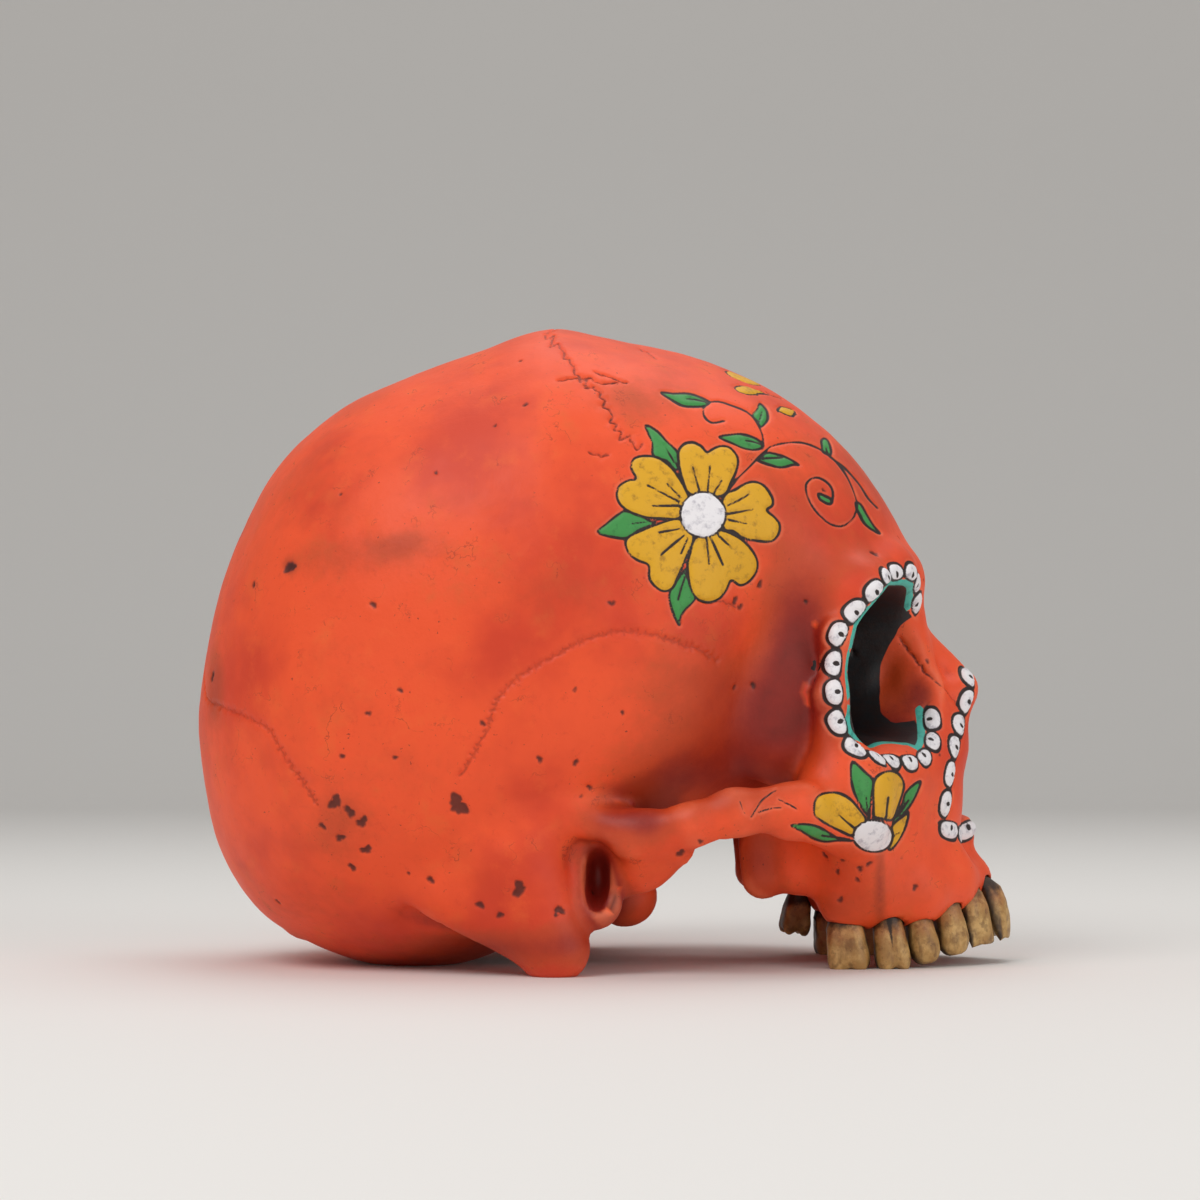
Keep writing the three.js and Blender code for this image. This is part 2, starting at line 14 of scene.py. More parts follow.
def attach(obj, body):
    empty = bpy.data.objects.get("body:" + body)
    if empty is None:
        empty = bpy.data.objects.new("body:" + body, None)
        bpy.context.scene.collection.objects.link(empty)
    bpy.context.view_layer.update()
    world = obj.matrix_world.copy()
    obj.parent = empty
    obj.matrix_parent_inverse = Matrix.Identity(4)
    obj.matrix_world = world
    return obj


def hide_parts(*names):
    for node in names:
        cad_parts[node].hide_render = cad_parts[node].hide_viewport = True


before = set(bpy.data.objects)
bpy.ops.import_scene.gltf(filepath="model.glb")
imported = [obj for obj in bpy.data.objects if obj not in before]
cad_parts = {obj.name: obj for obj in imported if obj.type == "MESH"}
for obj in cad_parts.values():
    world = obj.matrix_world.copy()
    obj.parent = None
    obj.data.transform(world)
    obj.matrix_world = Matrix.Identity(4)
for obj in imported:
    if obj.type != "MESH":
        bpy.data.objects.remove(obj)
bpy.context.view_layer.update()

metresPerMillimetre = 0.001
print("frame loaded")


def rgb(hexColour):
    channels = [int(hexColour[i:i + 2], 16) / 255 for i in (1, 3, 5)]
    linear = [c / 12.92 if c <= 0.04045 else ((c + 0.055) / 1.055) ** 2.4 for c in channels]
    return (*linear, 1.0)


# Places are shares of the half length, the half breadth and the height, from the middle of the foot.
# Radii and blends are shares of the height. Every form has a twin on the other side of the middle plane.
skull = {
    "length": 204.0,
    "breadth": 139.0,
    "height": 157.0,
    "wall": 6.5,
    "foramenLength": 34.0,
    "foramenBreadth": 30.0,
    "toothSize": 10.0,
    "toothPitchShare": 0.049,
    "toothClearance": 0.35,
    "outsideCell": 2.5,
    "hollowCell": 7.0,
}
halfSizes = np.array([skull["length"] / 2, skull["breadth"] / 2, skull["height"]])
toBoxMiddle = np.array([-0.307, 0, 0])  # from the form's own origin to the middle of the whole skull's box

caseOutlineShares = [
    [0.765, 0.599], [0.721, 0.685], [0.642, 0.771], [0.544, 0.841], [0.382, 0.914], [0.186, 0.962],
    [-0.01, 0.989], [-0.147, 1], [-0.324, 0.962], [-0.5, 0.919], [-0.672, 0.86], [-0.804, 0.773],
    [-0.911, 0.632], [-0.966, 0.49], [-0.984, 0.357], [-0.949, 0.21], [-0.868, 0.104], [-0.745, 0.041],
    [-0.549, -0.004], [-0.333, 0.001], [-0.137, 0.057], [0.039, 0.121], [0.196, 0.172], [0.363, 0.248],
    [0.52, 0.338], [0.657, 0.446],
]
caseCentreShares = [-0.137, 0, 0.497]
caseSquareness = 2.35
caseWidestShare = -0.294
caseNarrowing = {"reach": 1.078, "by": 0.2}

# A ball has its centre, its radii and its blend. A bar has its two ends, a radius at each, its thickness
# in y as a share of its depth, and its blend. Cut forms are taken away.
templeForms = [
    ["ballCut", [0.461, 0.964, 0.363], [0.186, 0.367, 0.268], 0.115],
    ["ball", [0.412, 0.547, 0.42], [0.127, 0.101, 0.14], 0.038],
]
browForms = [
    ["bar", [0.696, 0, 0.586], [0.696, 0.187, 0.592], 0.041, 0.038, 1, 0.045],
    ["bar", [0.691, 0.173, 0.599], [0.672, 0.36, 0.611], 0.035, 0.033, 1, 0.038],
    ["bar", [0.672, 0.36, 0.611], [0.598, 0.561, 0.58], 0.033, 0.032, 1, 0.038],
    ["bar", [0.598, 0.561, 0.58], [0.54, 0.655, 0.51], 0.03, 0.022, 1, 0.032],
    ["bar", [0.588, 0.547, 0.58], [0.412, 0.518, 0.599], 0.045, 0.057, 1, 0.038],
]
orbitRimForms = [
    ["bar", [0.54, 0.655, 0.51], [0.525, 0.686, 0.42], 0.022, 0.021, 1, 0.021],
    ["bar", [0.525, 0.686, 0.42], [0.541, 0.66, 0.318], 0.021, 0.037, 1, 0.029],
    ["bar", [0.588, 0.633, 0.293], [0.686, 0.432, 0.296], 0.038, 0.035, 1, 0.038],
    ["bar", [0.686, 0.432, 0.296], [0.755, 0.259, 0.312], 0.035, 0.032, 1, 0.038],
]
cheekForms = [
    ["ball", [0.559, 0.64, 0.264], [0.108, 0.129, 0.07], 0.038],
    ["bar", [0.431, 0.791, 0.245], [0.569, 0.619, 0.242], 0.041, 0.051, 0.75, 0.038],
    ["bar", [0.578, 0.576, 0.223], [0.627, 0.446, 0.14], 0.038, 0.038, 1, 0.045],
    ["bar", [0.471, 0.41, 0.312], [0.627, 0.475, 0.303], 0.045, 0.041, 1, 0.038],
]
archForms = [
    ["bar", [0.451, 0.806, 0.252], [0.294, 0.878, 0.246], 0.038, 0.032, 0.7, 0.025],
    ["bar", [0.294, 0.878, 0.246], [0.196, 0.892, 0.227], 0.032, 0.028, 0.75, 0.025],
    ["bar", [0.196, 0.892, 0.227], [0.069, 0.849, 0.213], 0.028, 0.032, 0.8, 0.025],
    ["bar", [0.069, 0.849, 0.213], [-0.098, 0.82, 0.242], 0.029, 0.025, 1, 0.038],
]
earForms = [
    ["bar", [0.157, 0.791, 0.194], [0.088, 0.719, 0.172], 0.032, 0.038, 1, 0.032],
    ["bar", [0.088, 0.719, 0.172], [0.02, 0.604, 0.153], 0.038, 0.045, 1, 0.032],
    ["bar", [-0.206, 0.719, 0.178], [-0.108, 0.755, 0.038], 0.089, 0.045, 1, 0.038],
    ["bar", [-0.353, 0.676, 0.127], [-0.137, 0.734, 0.051], 0.057, 0.045, 1, 0.045],
    ["bar", [-0.027, 0.705, 0.172], [-0.027, 0.719, 0.111], 0.045, 0.043, 1, 0.019],
]
noseForms = [
    ["bar", [0.647, 0, 0.535], [0.686, 0, 0.395], 0.064, 0.064, 1, 0.038],
    ["bar", [0.743, 0.029, 0.513], [0.868, 0.04, 0.438], 0.031, 0.027, 1, 0.032],
    ["bar", [0.725, 0.129, 0.535], [0.765, 0.187, 0.42], 0.032, 0.031, 1, 0.038],
    ["bar", [0.765, 0.187, 0.42], [0.775, 0.245, 0.331], 0.031, 0.035, 1, 0.038],
    ["bar", [0.859, 0.097, 0.419], [0.825, 0.165, 0.344], 0.028, 0.028, 1, 0.032],
    ["bar", [0.825, 0.165, 0.344], [0.787, 0.194, 0.268], 0.028, 0.028, 1, 0.032],
    ["bar", [0.787, 0.194, 0.268], [0.814, 0.086, 0.206], 0.027, 0.026, 1, 0.025],
    ["bar", [0.814, 0, 0.191], [0.871, 0, 0.21], 0.032, 0.021, 1, 0.019],
]
upperJawForms = [
    ["ball", [0.637, 0.144, 0.268], [0.206, 0.317, 0.153], 0.051],
    ["ball", [0.588, 0.345, 0.217], [0.137, 0.173, 0.127], 0.051],
    ["bar", [0.892, 0.029, 0.13], [0.828, 0.201, 0.126], 0.032, 0.037, 1, 0.025],
    ["bar", [0.828, 0.201, 0.126], [0.745, 0.309, 0.112], 0.037, 0.041, 1, 0.032],
    ["bar", [0.745, 0.309, 0.112], [0.578, 0.374, 0.1], 0.041, 0.043, 1, 0.032],
    ["bar", [0.874, 0, 0.138], [0.844, 0, 0.19], 0.031, 0.031, 1, 0.025],
    ["bar", [0.804, 0.201, 0.153], [0.755, 0.23, 0.255], 0.041, 0.041, 1, 0.038],
    ["bar", [0.725, 0.302, 0.14], [0.676, 0.36, 0.255], 0.045, 0.045, 1, 0.038],
]
baseForms = [
    ["ball", [0.392, 0.086, 0.318], [0.216, 0.23, 0.089], 0.051],
    ["bar", [0.373, 0.288, 0.242], [0.377, 0.302, 0.139], 0.038, 0.033, 0.7, 0.032],
    ["bar", [0.451, 0.302, 0.229], [0.461, 0.331, 0.146], 0.038, 0.032, 0.9, 0.032],
    ["ball", [0.049, 0.187, 0.105], [0.078, 0.094, 0.048], 0.025],
    ["ball", [-0.74, 0, 0.062], [0.039, 0.072, 0.023], 0.019],
]
palateForms = [
    ["ballCut", [0.627, 0, 0.019], [0.235, 0.259, 0.124], 0.032],
]
noseCutForms = [
    ["barCut", [0.98, 0, 0.382], [0.686, 0, 0.369], 0.027, 0.027, 1, 0.019],
    ["barCut", [0.98, 0.05, 0.325], [0.647, 0.043, 0.318], 0.043, 0.038, 1, 0.019],
    ["barCut", [0.961, 0.065, 0.277], [0.647, 0.058, 0.28], 0.045, 0.041, 1, 0.019],
]
lowerCutForms = [
    ["ballCut", [-0.015, 0.878, 0.146], [0.037, 0.23, 0.053], 0.013],
    ["barCut", [-0.451, 0.676, 0.083], [-0.235, 0.633, 0.045], 0.019, 0.019, 1, 0.025],
]
orbitApexShares = [0.294, 0.18, 0.439]
orbitMouthShares = [0.667, 0.439, 0.465]
orbitHalves = {"across": 0.11, "up": 0.115, "flare": 1.3, "edge": 0.013, "squareness": 2.6}
hollowGaps = {"orbit": 1.5, "temple": 1.6, "blend": 0.045}
foramenCentreShares = [-0.186, 0, 0.08]
foramenReachShare = 0.25


def place(shares):
    return np.array(shares, float) * halfSizes


def catmullRom(points, steps, closed=True):
    points = np.asarray(points, float)
    count = len(points) if closed else len(points) - 1
    s = np.linspace(0, count, steps * count + (not closed), endpoint=not closed)
    i = np.minimum(s.astype(int), count - 1)
    w = (s - i)[:, None]
    at = (lambda k: points[k % len(points)]) if closed else (lambda k: points[np.clip(k, 0, len(points) - 1)])
    a, b, c, d = at(i - 1), at(i), at(i + 1), at(i + 2)
    return b + w * ((c - a) / 2 + w * ((a * 2 - b * 5 + c * 4 - d) / 2 + w * (b * 3 - a - c * 3 + d) / 2))


caseCentre = place(caseCentreShares)
caseRing = catmullRom([place([x, 0, z]) for x, z in caseOutlineShares], 14) - caseCentre
caseAngles = np.arctan2(caseRing[:, 2], caseRing[:, 0])
caseOrder = np.argsort(caseAngles)
caseAngles = caseAngles[caseOrder]
caseRadii = np.hypot(caseRing[:, 0], caseRing[:, 2])[caseOrder]


def lengthOf(v):
    return np.sqrt(np.einsum("ij,ij->i", v, v))


def brainCaseField(p):
    dx, y, dz = p[:, 0] - caseCentre[0], p[:, 1], p[:, 2] - caseCentre[2]
    narrowing = (2 * p[:, 0] / skull["length"] - caseWidestShare) / caseNarrowing["reach"]
    taper = 1 - caseNarrowing["by"] * np.clip(narrowing, 0, 1) ** 2
    along = np.hypot(dx, dz) / np.interp(np.arctan2(dz, dx), caseAngles, caseRadii, period=2 * math.pi)
    across = y / (skull["breadth"] / 2 * taper)
    size = np.maximum(along ** caseSquareness + across ** caseSquareness, 1e-6) ** (1 / caseSquareness)
    return np.sqrt(dx ** 2 + y ** 2 + dz ** 2) * (1 - 1 / size)


def ballField(centre, radii):
    def field(p):
        q = (p - centre) / radii
        reach = lengthOf(q)
        slope = lengthOf(q / radii)
        return np.where(slope > 1e-6, reach * (reach - 1) / np.maximum(slope, 1e-6), -radii.min())
    return field


def barField(start, end, startRadius, endRadius, thickness):
    run = end - start

    def field(p):
        q = p - start
        part = np.clip(q @ run / (run @ run), 0, 1)
        q = q - part[:, None] * run
        real = lengthOf(q)
        scaled = lengthOf(q / np.array([1, thickness, 1]))
        radius = startRadius + (endRadius - startRadius) * part
        return np.where(scaled > 1e-6, (scaled - radius) * real / np.maximum(scaled, 1e-6), -radius * thickness)
    return field


orbitApex, orbitMouth = place(orbitApexShares), place(orbitMouthShares)
orbitAxis = (orbitMouth - orbitApex) / np.linalg.norm(orbitMouth - orbitApex)
orbitUp = np.array([0, 0, 1]) - orbitAxis * orbitAxis[2]
orbitUp /= np.linalg.norm(orbitUp)
orbitSide = np.cross(orbitAxis, orbitUp)


def orbitParts(p):
    q = p - orbitApex
    along = q @ orbitAxis
    depth = np.linalg.norm(orbitMouth - orbitApex)
    opening = np.sqrt(np.clip(along / depth, 1e-4, orbitHalves["flare"])) * skull["height"]
    across, up = q @ orbitSide / (orbitHalves["across"] * opening), q @ orbitUp / (orbitHalves["up"] * opening)
    return along, across, up, opening


def orbitField(p):
    along, a, b, opening = orbitParts(p)
    power = orbitHalves["squareness"]
    size = (np.abs(a) ** power + np.abs(b) ** power) ** (1 / power)
    inside = (size - 1) * opening * min(orbitHalves["across"], orbitHalves["up"])
    return np.where(along > 0, inside, lengthOf(p - orbitApex))


def smoothMin(a, b, blend):
    return np.minimum(a, b) - np.maximum(blend - np.abs(a - b), 0) ** 2 / (4 * blend)


def smoothMax(a, b, blend):
    return -smoothMin(-a, -b, blend)


def smoothStep(start, end, value):
    t = np.clip((value - start) / (end - start), 0, 1)
    return t * t * (3 - 2 * t)


def formOf(row):
    kind, first, second, *rest = row
    if kind.startswith("ball"):
        field = ballField(place(first), place(second))
    else:
        startRadius, endRadius = rest[0] * skull["height"], rest[1] * skull["height"]
        field = barField(place(first), place(second), startRadius, endRadius, rest[2])
    return field, rest[-1] * skull["height"], kind.endswith("Cut")


bodyForms = [
    formOf(row) for table in (
        templeForms, browForms, orbitRimForms, cheekForms, archForms, earForms, noseForms, upperJawForms,
        baseForms, palateForms,
    ) for row in table
]
noseCuts = [formOf(row) for row in noseCutForms]
lowerCuts = [formOf(row) for row in lowerCutForms]
templeCut = formOf(templeForms[0])[0]


def mirrored(p):
    near = np.array(p, float)
    near[:, 1] = np.abs(near[:, 1])
    return near


def withForms(p, distance, forms):
    for field, blend, cut in forms:
        form = field(p)
        distance = smoothMax(distance, -form, blend) if cut else smoothMin(distance, form, blend)
    return distance


# The outside, and how far a place is from the eye socket's cut and from the nose's
def outsideFields(points):
    p = mirrored(points)
    bone = withForms(p, brainCaseField(p), bodyForms)
    nosed = withForms(p, withForms(p, bone, noseCuts), lowerCuts)
    orbit = orbitField(p)
    outside = smoothMax(nosed, -orbit, orbitHalves["edge"] * skull["height"])
    return outside, nosed, orbit, bone


def outsideField(points):
    return outsideFields(points)[0]


def hollowField(points):
    p = mirrored(points)
    blend = hollowGaps["blend"] * skull["height"]
    fromCase = brainCaseField(p) + skull["wall"]
    fromOrbit = skull["wall"] * hollowGaps["orbit"] - orbitField(p)
    fromTemple = skull["wall"] * hollowGaps["temple"] - templeCut(p)
    return smoothMax(smoothMax(fromCase, fromOrbit, blend), fromTemple, blend)


# A field's surface as one closed mesh: one point for each sheet of surface in a cell of the grid
cornerBits = np.array([[(corner >> axis) & 1 for axis in range(3)] for corner in range(8)])
cellEdges = [(corner, corner | 1 << axis) for corner in range(8) for axis in range(3) if not corner >> axis & 1]
edgeNumber = {pair: number for number, pair in enumerate(cellEdges)}


def cellFaces():
    for axis in range(3):
        u, v, w = (1 << (axis + step) % 3 for step in range(3))
        for side in (0, w):
            yield [side, side | u, side | u | v, side | v]


def sheetsOf(inside):
    links = [[] for _ in cellEdges]
    for face in cellFaces():
        def edge(q):
            return edgeNumber[tuple(sorted((face[q % 4], face[(q + 1) % 4])))]
        crossed = [q for q in range(4) if inside[face[q]] != inside[face[(q + 1) % 4]]]
        pairs = [(edge(crossed[0]), edge(crossed[1]))] if len(crossed) == 2 else []
        if len(crossed) == 4:
            pairs = [(edge(q + 3), edge(q)) for q in range(4) if inside[face[q]]]
        for a, b in pairs:
            links[a].append(b)
            links[b].append(a)
    sheet = [-1] * len(cellEdges)
    count = 0
    for start in range(len(cellEdges)):
        if not links[start] or sheet[start] >= 0:
            continue
        waiting = [start]
        while waiting:
            edge = waiting.pop()
            if sheet[edge] < 0:
                sheet[edge] = count
                waiting += links[edge]
        count += 1
    return sheet, count


sheetTable = [sheetsOf([code >> corner & 1 for corner in range(8)]) for code in range(256)]
sheetOfEdge = np.array([sheet for sheet, _ in sheetTable])
sheetCounts = np.array([count for _, count in sheetTable])


def settle(points, field, cell, passes=3):
    probe = cell * 0.02
    for _ in range(passes):
        here = field(points)
        slope = np.empty_like(points)
        for axis in range(3):
            aside = points.copy()
            aside[:, axis] += probe
            slope[:, axis] = (field(aside) - here) / probe
        step = np.clip(here / np.maximum(0.3, (slope ** 2).sum(1)), -cell * 0.25, cell * 0.25)
        points = points - step[:, None] * slope
    return points


def edgesOf(triangles, count):
    pairs = np.concatenate([triangles[:, [0, 1]], triangles[:, [1, 2]], triangles[:, [2, 0]]])
    pairs.sort(axis=1)
    keys, back = np.unique(pairs[:, 0] * count + pairs[:, 1], return_inverse=True)
    return keys // count, keys % count, back.reshape(3, -1).T


def relax(points, triangles, field, cell, passes=3):
    a, b, _ = edgesOf(triangles, len(points))
    weight = np.bincount(a, minlength=len(points)) + np.bincount(b, minlength=len(points))
    for _ in range(passes):
        mean = np.empty_like(points)
        for axis in range(3):
            near = np.bincount(a, points[b, axis], len(points)) + np.bincount(b, points[a, axis], len(points))
            mean[:, axis] = near / weight
        points = settle((points + mean) / 2, field, cell, 1)
    return points


def surfaceOf(field, cell):
    low, high = place([-1.05, -1.05, -0.06]), place([1.05, 1.05, 1.04])
    counts = np.ceil((high - low) / cell).astype(int) + 1
    counts[1] = 2 * math.ceil(high[1] / cell)
    nx, ny, nz = counts
    gridX, gridZ = (low[axis] + cell * np.arange(counts[axis]) for axis in (0, 2))
    gridY = cell * (np.arange(ny) - (ny - 1) / 2)
    start = np.array([gridX[0], gridY[0], gridZ[0]])
    half = np.stack(np.meshgrid(gridX, gridY[ny // 2:], gridZ, indexing="ij"), -1).reshape(-1, 3)
    values = np.concatenate([field(chunk) for chunk in np.array_split(half, 8)]).reshape(nx, ny // 2, nz)
    values = np.concatenate([values[:, ::-1], values], axis=1)
    inside = values < 0

    def corner(array, bits):
        return array[bits[0]:nx - 1 + bits[0], bits[1]:ny - 1 + bits[1], bits[2]:nz - 1 + bits[2]]

    code = sum(corner(inside, bits).astype(int) << number for number, bits in enumerate(cornerBits))
    cells = np.argwhere((code > 0) & (code < 255))
    cellCode = code[tuple(cells.T)]
    offsets = np.concatenate([[0], np.cumsum(sheetCounts[cellCode])])
    offsetOf = np.full(code.shape, -1)
    offsetOf[tuple(cells.T)] = offsets[:-1]
    sums = np.zeros((offsets[-1], 4))
    for number, (a, b) in enumerate(cellEdges):
        sheet = sheetOfEdge[cellCode, number]
        used = sheet >= 0
        fromNode, toNode = cells[used] + cornerBits[a], cells[used] + cornerBits[b]
        va, vb = values[tuple(fromNode.T)], values[tuple(toNode.T)]
        part = (va / (va - vb))[:, None]
        at = fromNode + (toNode - fromNode) * part
        target = offsets[:-1][used] + sheet[used]
        for axis in range(3):
            sums[:, axis] += np.bincount(target, at[:, axis], len(sums))
        sums[:, 3] += np.bincount(target, minlength=len(sums))
    points = start + cell * sums[:, :3] / sums[:, 3:]

    quads = []
    step = np.eye(3, dtype=int)
    for along in range(3):
        u, v = (along + 1) % 3, (along + 2) % 3
        shifted = inside[tuple(slice(1, None) if axis == along else slice(None) for axis in range(3))]
        trimmed = inside[tuple(slice(0, -1) if axis == along else slice(None) for axis in range(3))]
        nodes = np.argwhere(shifted != trimmed)
        nodes = nodes[((nodes[:, [u, v]] > 0) & (nodes[:, [u, v]] < counts[[u, v]] - 1)).all(1)]
        ring = []
        for du, dv in ((1, 1), (0, 1), (0, 0), (1, 0)):
            cell0 = nodes - du * step[u] - dv * step[v]
            low0 = (du << u) | (dv << v)
            edge = edgeNumber[(low0, low0 | 1 << along)]
            ring.append(offsetOf[tuple(cell0.T)] + sheetOfEdge[code[tuple(cell0.T)], edge])
        ring = np.stack(ring, 1)
        flip = ~trimmed[tuple(nodes.T)]
        ring[flip] = ring[flip][:, ::-1]
        quads.append(ring)
    quads = np.concatenate(quads)
    points = settle(points, field, cell)
    return points, trianglesOf(points, quads)


def trianglesOf(points, quads):
    a, b, c, d = (points[quads[:, corner]] for corner in range(4))
    turn = lengthOf(a - c) > lengthOf(b - d)
    quads = np.where(turn[:, None], np.roll(quads, -1, axis=1), quads)
    return np.concatenate([quads[:, [0, 1, 2]], quads[:, [0, 2, 3]]])


def addObject(name, data):
    obj = bpy.data.objects.new(name, data)
    bpy.context.collection.objects.link(obj)
    return obj


def inMetres(points):
    return (np.asarray(points) + toBoxMiddle) * metresPerMillimetre


def meshObject(name, points, faces):
    mesh = bpy.data.meshes.new(name)
    mesh.from_pydata(inMetres(points).tolist(), [], [[int(corner) for corner in face] for face in faces])
    mesh.validate()
    return addObject(name, mesh)


def pointsOf(obj):
    points = np.empty(len(obj.data.vertices) * 3, np.float64)
    obj.data.vertices.foreach_get("co", points)
    return points.reshape(-1, 3) / metresPerMillimetre - toBoxMiddle


# Edges longer than the wish at their middle are halved, until none is left.
def refine(points, triangles, wish, field, passes):
    for _ in range(passes):
        a, b, edgeAt = edgesOf(triangles, len(points))
        middle = (points[a] + points[b]) / 2
        cut = lengthOf(points[a] - points[b]) > 1.4 * wish(middle)
        if not cut.any():
            break
        number = np.where(cut, len(points) + np.cumsum(cut) - 1, -1)
        points = np.concatenate([points, settle(middle[cut], field, 1.0, 2)])
        middles = number[edgeAt]
        halved = (middles >= 0).sum(1)
        first = np.where(halved == 1, np.argmax(middles >= 0, 1), 0)
        first = np.where(halved == 2, (np.argmax(middles < 0, 1) + 1) % 3, first)
        turn = (first[:, None] + np.arange(3)) % 3
        t = np.take_along_axis(triangles, turn, 1)
        m = np.take_along_axis(middles, turn, 1)
        new = [t[halved == 0]]
        one, two, three = halved == 1, halved == 2, halved == 3
        new += [np.stack([t[one, 0], m[one, 0], t[one, 2]], 1), np.stack([m[one, 0], t[one, 1], t[one, 2]], 1)]
        new.append(np.stack([m[two, 0], t[two, 1], m[two, 1]], 1))
        new.append(trianglesOf(points, np.stack([t[two, 0], m[two, 0], m[two, 1], t[two, 2]], 1)))
        new += [
            np.stack([t[three, 0], m[three, 0], m[three, 2]], 1),
            np.stack([m[three, 0], t[three, 1], m[three, 1]], 1),
            np.stack([m[three, 2], m[three, 1], t[three, 2]], 1), m[three],
        ]
        triangles = np.concatenate(new)
    return points, triangles


# Ornament, laid out in the side view: u to the right and v down, in pixels of its 1200 pixel frame
sideView = {"focalPixels": 3600.0, "middle": 600.0, "rise": 112.0, "x": -1.1, "y": -900.0, "z": 62.0}
eye = np.array([sideView[axis] for axis in "xyz"])
tilt = math.atan(sideView["rise"] / sideView["focalPixels"])
ahead = np.array([0, math.cos(tilt), math.sin(tilt)])
upward = np.array([0, -math.sin(tilt), math.cos(tilt)])

# The temple's flower: petals are closed outlines, strokes are open lines, the disc has a middle and a radius
flower = {
    "petals": [
        [(689, 493), (682.3, 478.5), (678.8, 463), (678.5, 451.5), (684.2, 443.8), (692.9, 441.9), (701.5, 445.8),
         (707.3, 451.9), (713, 448.7), (720.8, 445.8), (730.4, 447.7), (737.7, 457.3), (737.1, 468.8),
         (731.3, 482.3), (723.7, 494.8), (706, 497)],
        [(725.6, 494.8), (736.2, 489), (745.8, 483.3), (755.4, 481.3), (765, 485.2), (772.7, 495.8),
         (773.7, 504.4), (767.9, 509.6), (775.6, 516.9), (780.8, 524.6), (779.4, 534.2), (772.7, 541),
         (759.2, 541), (743.8, 538), (733.3, 531.3), (724.6, 529.4), (719, 512)],
        [(722.7, 530.4), (733.3, 534.2), (743.8, 541), (753.5, 551.5), (758.3, 563), (756.3, 573.7),
         (748.7, 582.3), (740, 585.2), (731.3, 580.4), (726.5, 590), (718.8, 599.6), (709.2, 602.5),
         (699.6, 599.6), (692.9, 591.9), (689, 578.5), (688, 563), (691, 551.5), (695.8, 538), (709, 530)],
        [(693.8, 538), (688, 553.5), (684.2, 563), (678.5, 576.5), (672.7, 588), (664, 591), (655.4, 586.2),
         (649.6, 577.5), (648.7, 565), (638, 560.2), (629.4, 553.5), (625.6, 543.8), (628.5, 537.1),
         (640, 531.3), (653.5, 525.6), (666.9, 520.8), (679.4, 518.8), (690, 525)],
        [(679.4, 517.9), (663, 517.9), (645.8, 516.9), (630.4, 512), (619.8, 503.5), (617, 493.8),
         (619.8, 485.2), (628.5, 480), (636.2, 478), (631.3, 466.9), (634.2, 458.3), (643.8, 455.4),
         (657.3, 457.3), (668.8, 465), (678.5, 476.5), (686.2, 490), (690, 505)],
    ],
    "disc": (703.1, 514.6, 22.7),
    "strokes": [
        [(699.6, 492), (692.9, 467.3)], [(707.7, 491), (710.2, 466)], [(714, 492.9), (721.7, 480.8)],
        [(727.5, 505.4), (738, 500.6), (749.2, 494.2)], [(727.5, 514), (753.5, 509.2)],
        [(728.5, 519.8), (746.7, 523.7)], [(717.9, 535.2), (733.3, 549.6)], [(711.2, 539), (722.7, 565)],
        [(706.7, 540), (709.2, 564)], [(688, 538), (681.3, 553.5)], [(684.2, 535.2), (661.2, 554.4)],
        [(680.4, 528.5), (659.2, 532.3)], [(681.3, 497.7), (666.9, 483.8)], [(679.4, 501.5), (647.7, 485.2)],
        [(679.4, 505.4), (652.5, 505.8)],
    ],
}
leaves = [
    [(645.8, 424.6), (657.3, 430.4), (666.9, 441), (677.5, 452.5), (678.8, 466.9), (675, 469.8), (666.9, 461.2),
     (653.5, 455.4), (652.5, 441.9)],
    [(597.7, 532.3), (605.4, 524.6), (618.8, 514), (625.6, 511.2), (638, 515), (651.5, 520.8), (656, 522),
     (651.5, 524.6), (638, 530.4), (626.5, 538), (613, 537)],
    [(679.4, 625.6), (671.7, 607.3), (669.8, 593.8), (674.6, 584.2), (684.2, 570.8), (687, 569.8), (690, 580.4),
     (695.8, 597.7), (686.2, 609.2), (681.3, 617)],
    [(661.2, 392), (672.7, 392.9), (688, 392.9), (701.5, 396.7), (710.2, 401.5), (704.4, 405.4), (694.8, 406.3),
     (682.3, 405.4), (670.8, 398.7)],
    [(760.2, 403.5), (766.5, 410.2), (767.9, 418.8), (764, 424.6), (760.2, 426.5), (757.3, 420.8), (753, 414.6),
     (757.3, 409.2)],
    [(719.2, 437.1), (730.4, 434.6), (741.9, 433.8), (753.5, 437.1), (763, 442.9), (762, 447.7), (753.5, 449.6),
     (743.8, 447.7), (734.2, 443.8)],
    [(758.3, 459.2), (766.9, 452.5), (776.5, 453.5), (788, 457.3), (799.6, 464), (793.8, 464), (782.3, 466.9),
     (768.8, 464)],
    [(822.7, 438.7), (828.5, 438.7), (832.3, 451), (829.4, 454), (823.7, 451), (822.7, 445.4)],
    [(818.8, 493.5), (822.7, 494.4), (830.4, 498.3), (832.7, 501.2), (830.4, 504), (824.6, 502), (819.8, 498.3)],
    [(856.3, 502), (861.2, 504), (866.9, 512.7), (874.6, 525.2), (880.4, 532.9), (872.7, 529), (865, 522.3),
     (859.2, 511.7), (856.9, 507)],
]
leafVeins = [
    [(664, 444.8), (669.8, 455.4), (677.5, 466.9)], [(632.3, 523.7), (653.5, 520.8), (678.5, 517)],
    [(678.5, 599.6), (682.3, 586.2), (688, 568.8), (694.8, 542)], [(686.2, 398.7), (697.7, 399.6), (709.2, 402)],
    [(762, 412), (759.2, 421.7)], [(745.8, 440.4), (753.5, 441.9), (762.7, 444.8)],
    [(760.2, 458.3), (782.3, 457.3)], [(826.5, 447.3), (828.5, 453)],
]
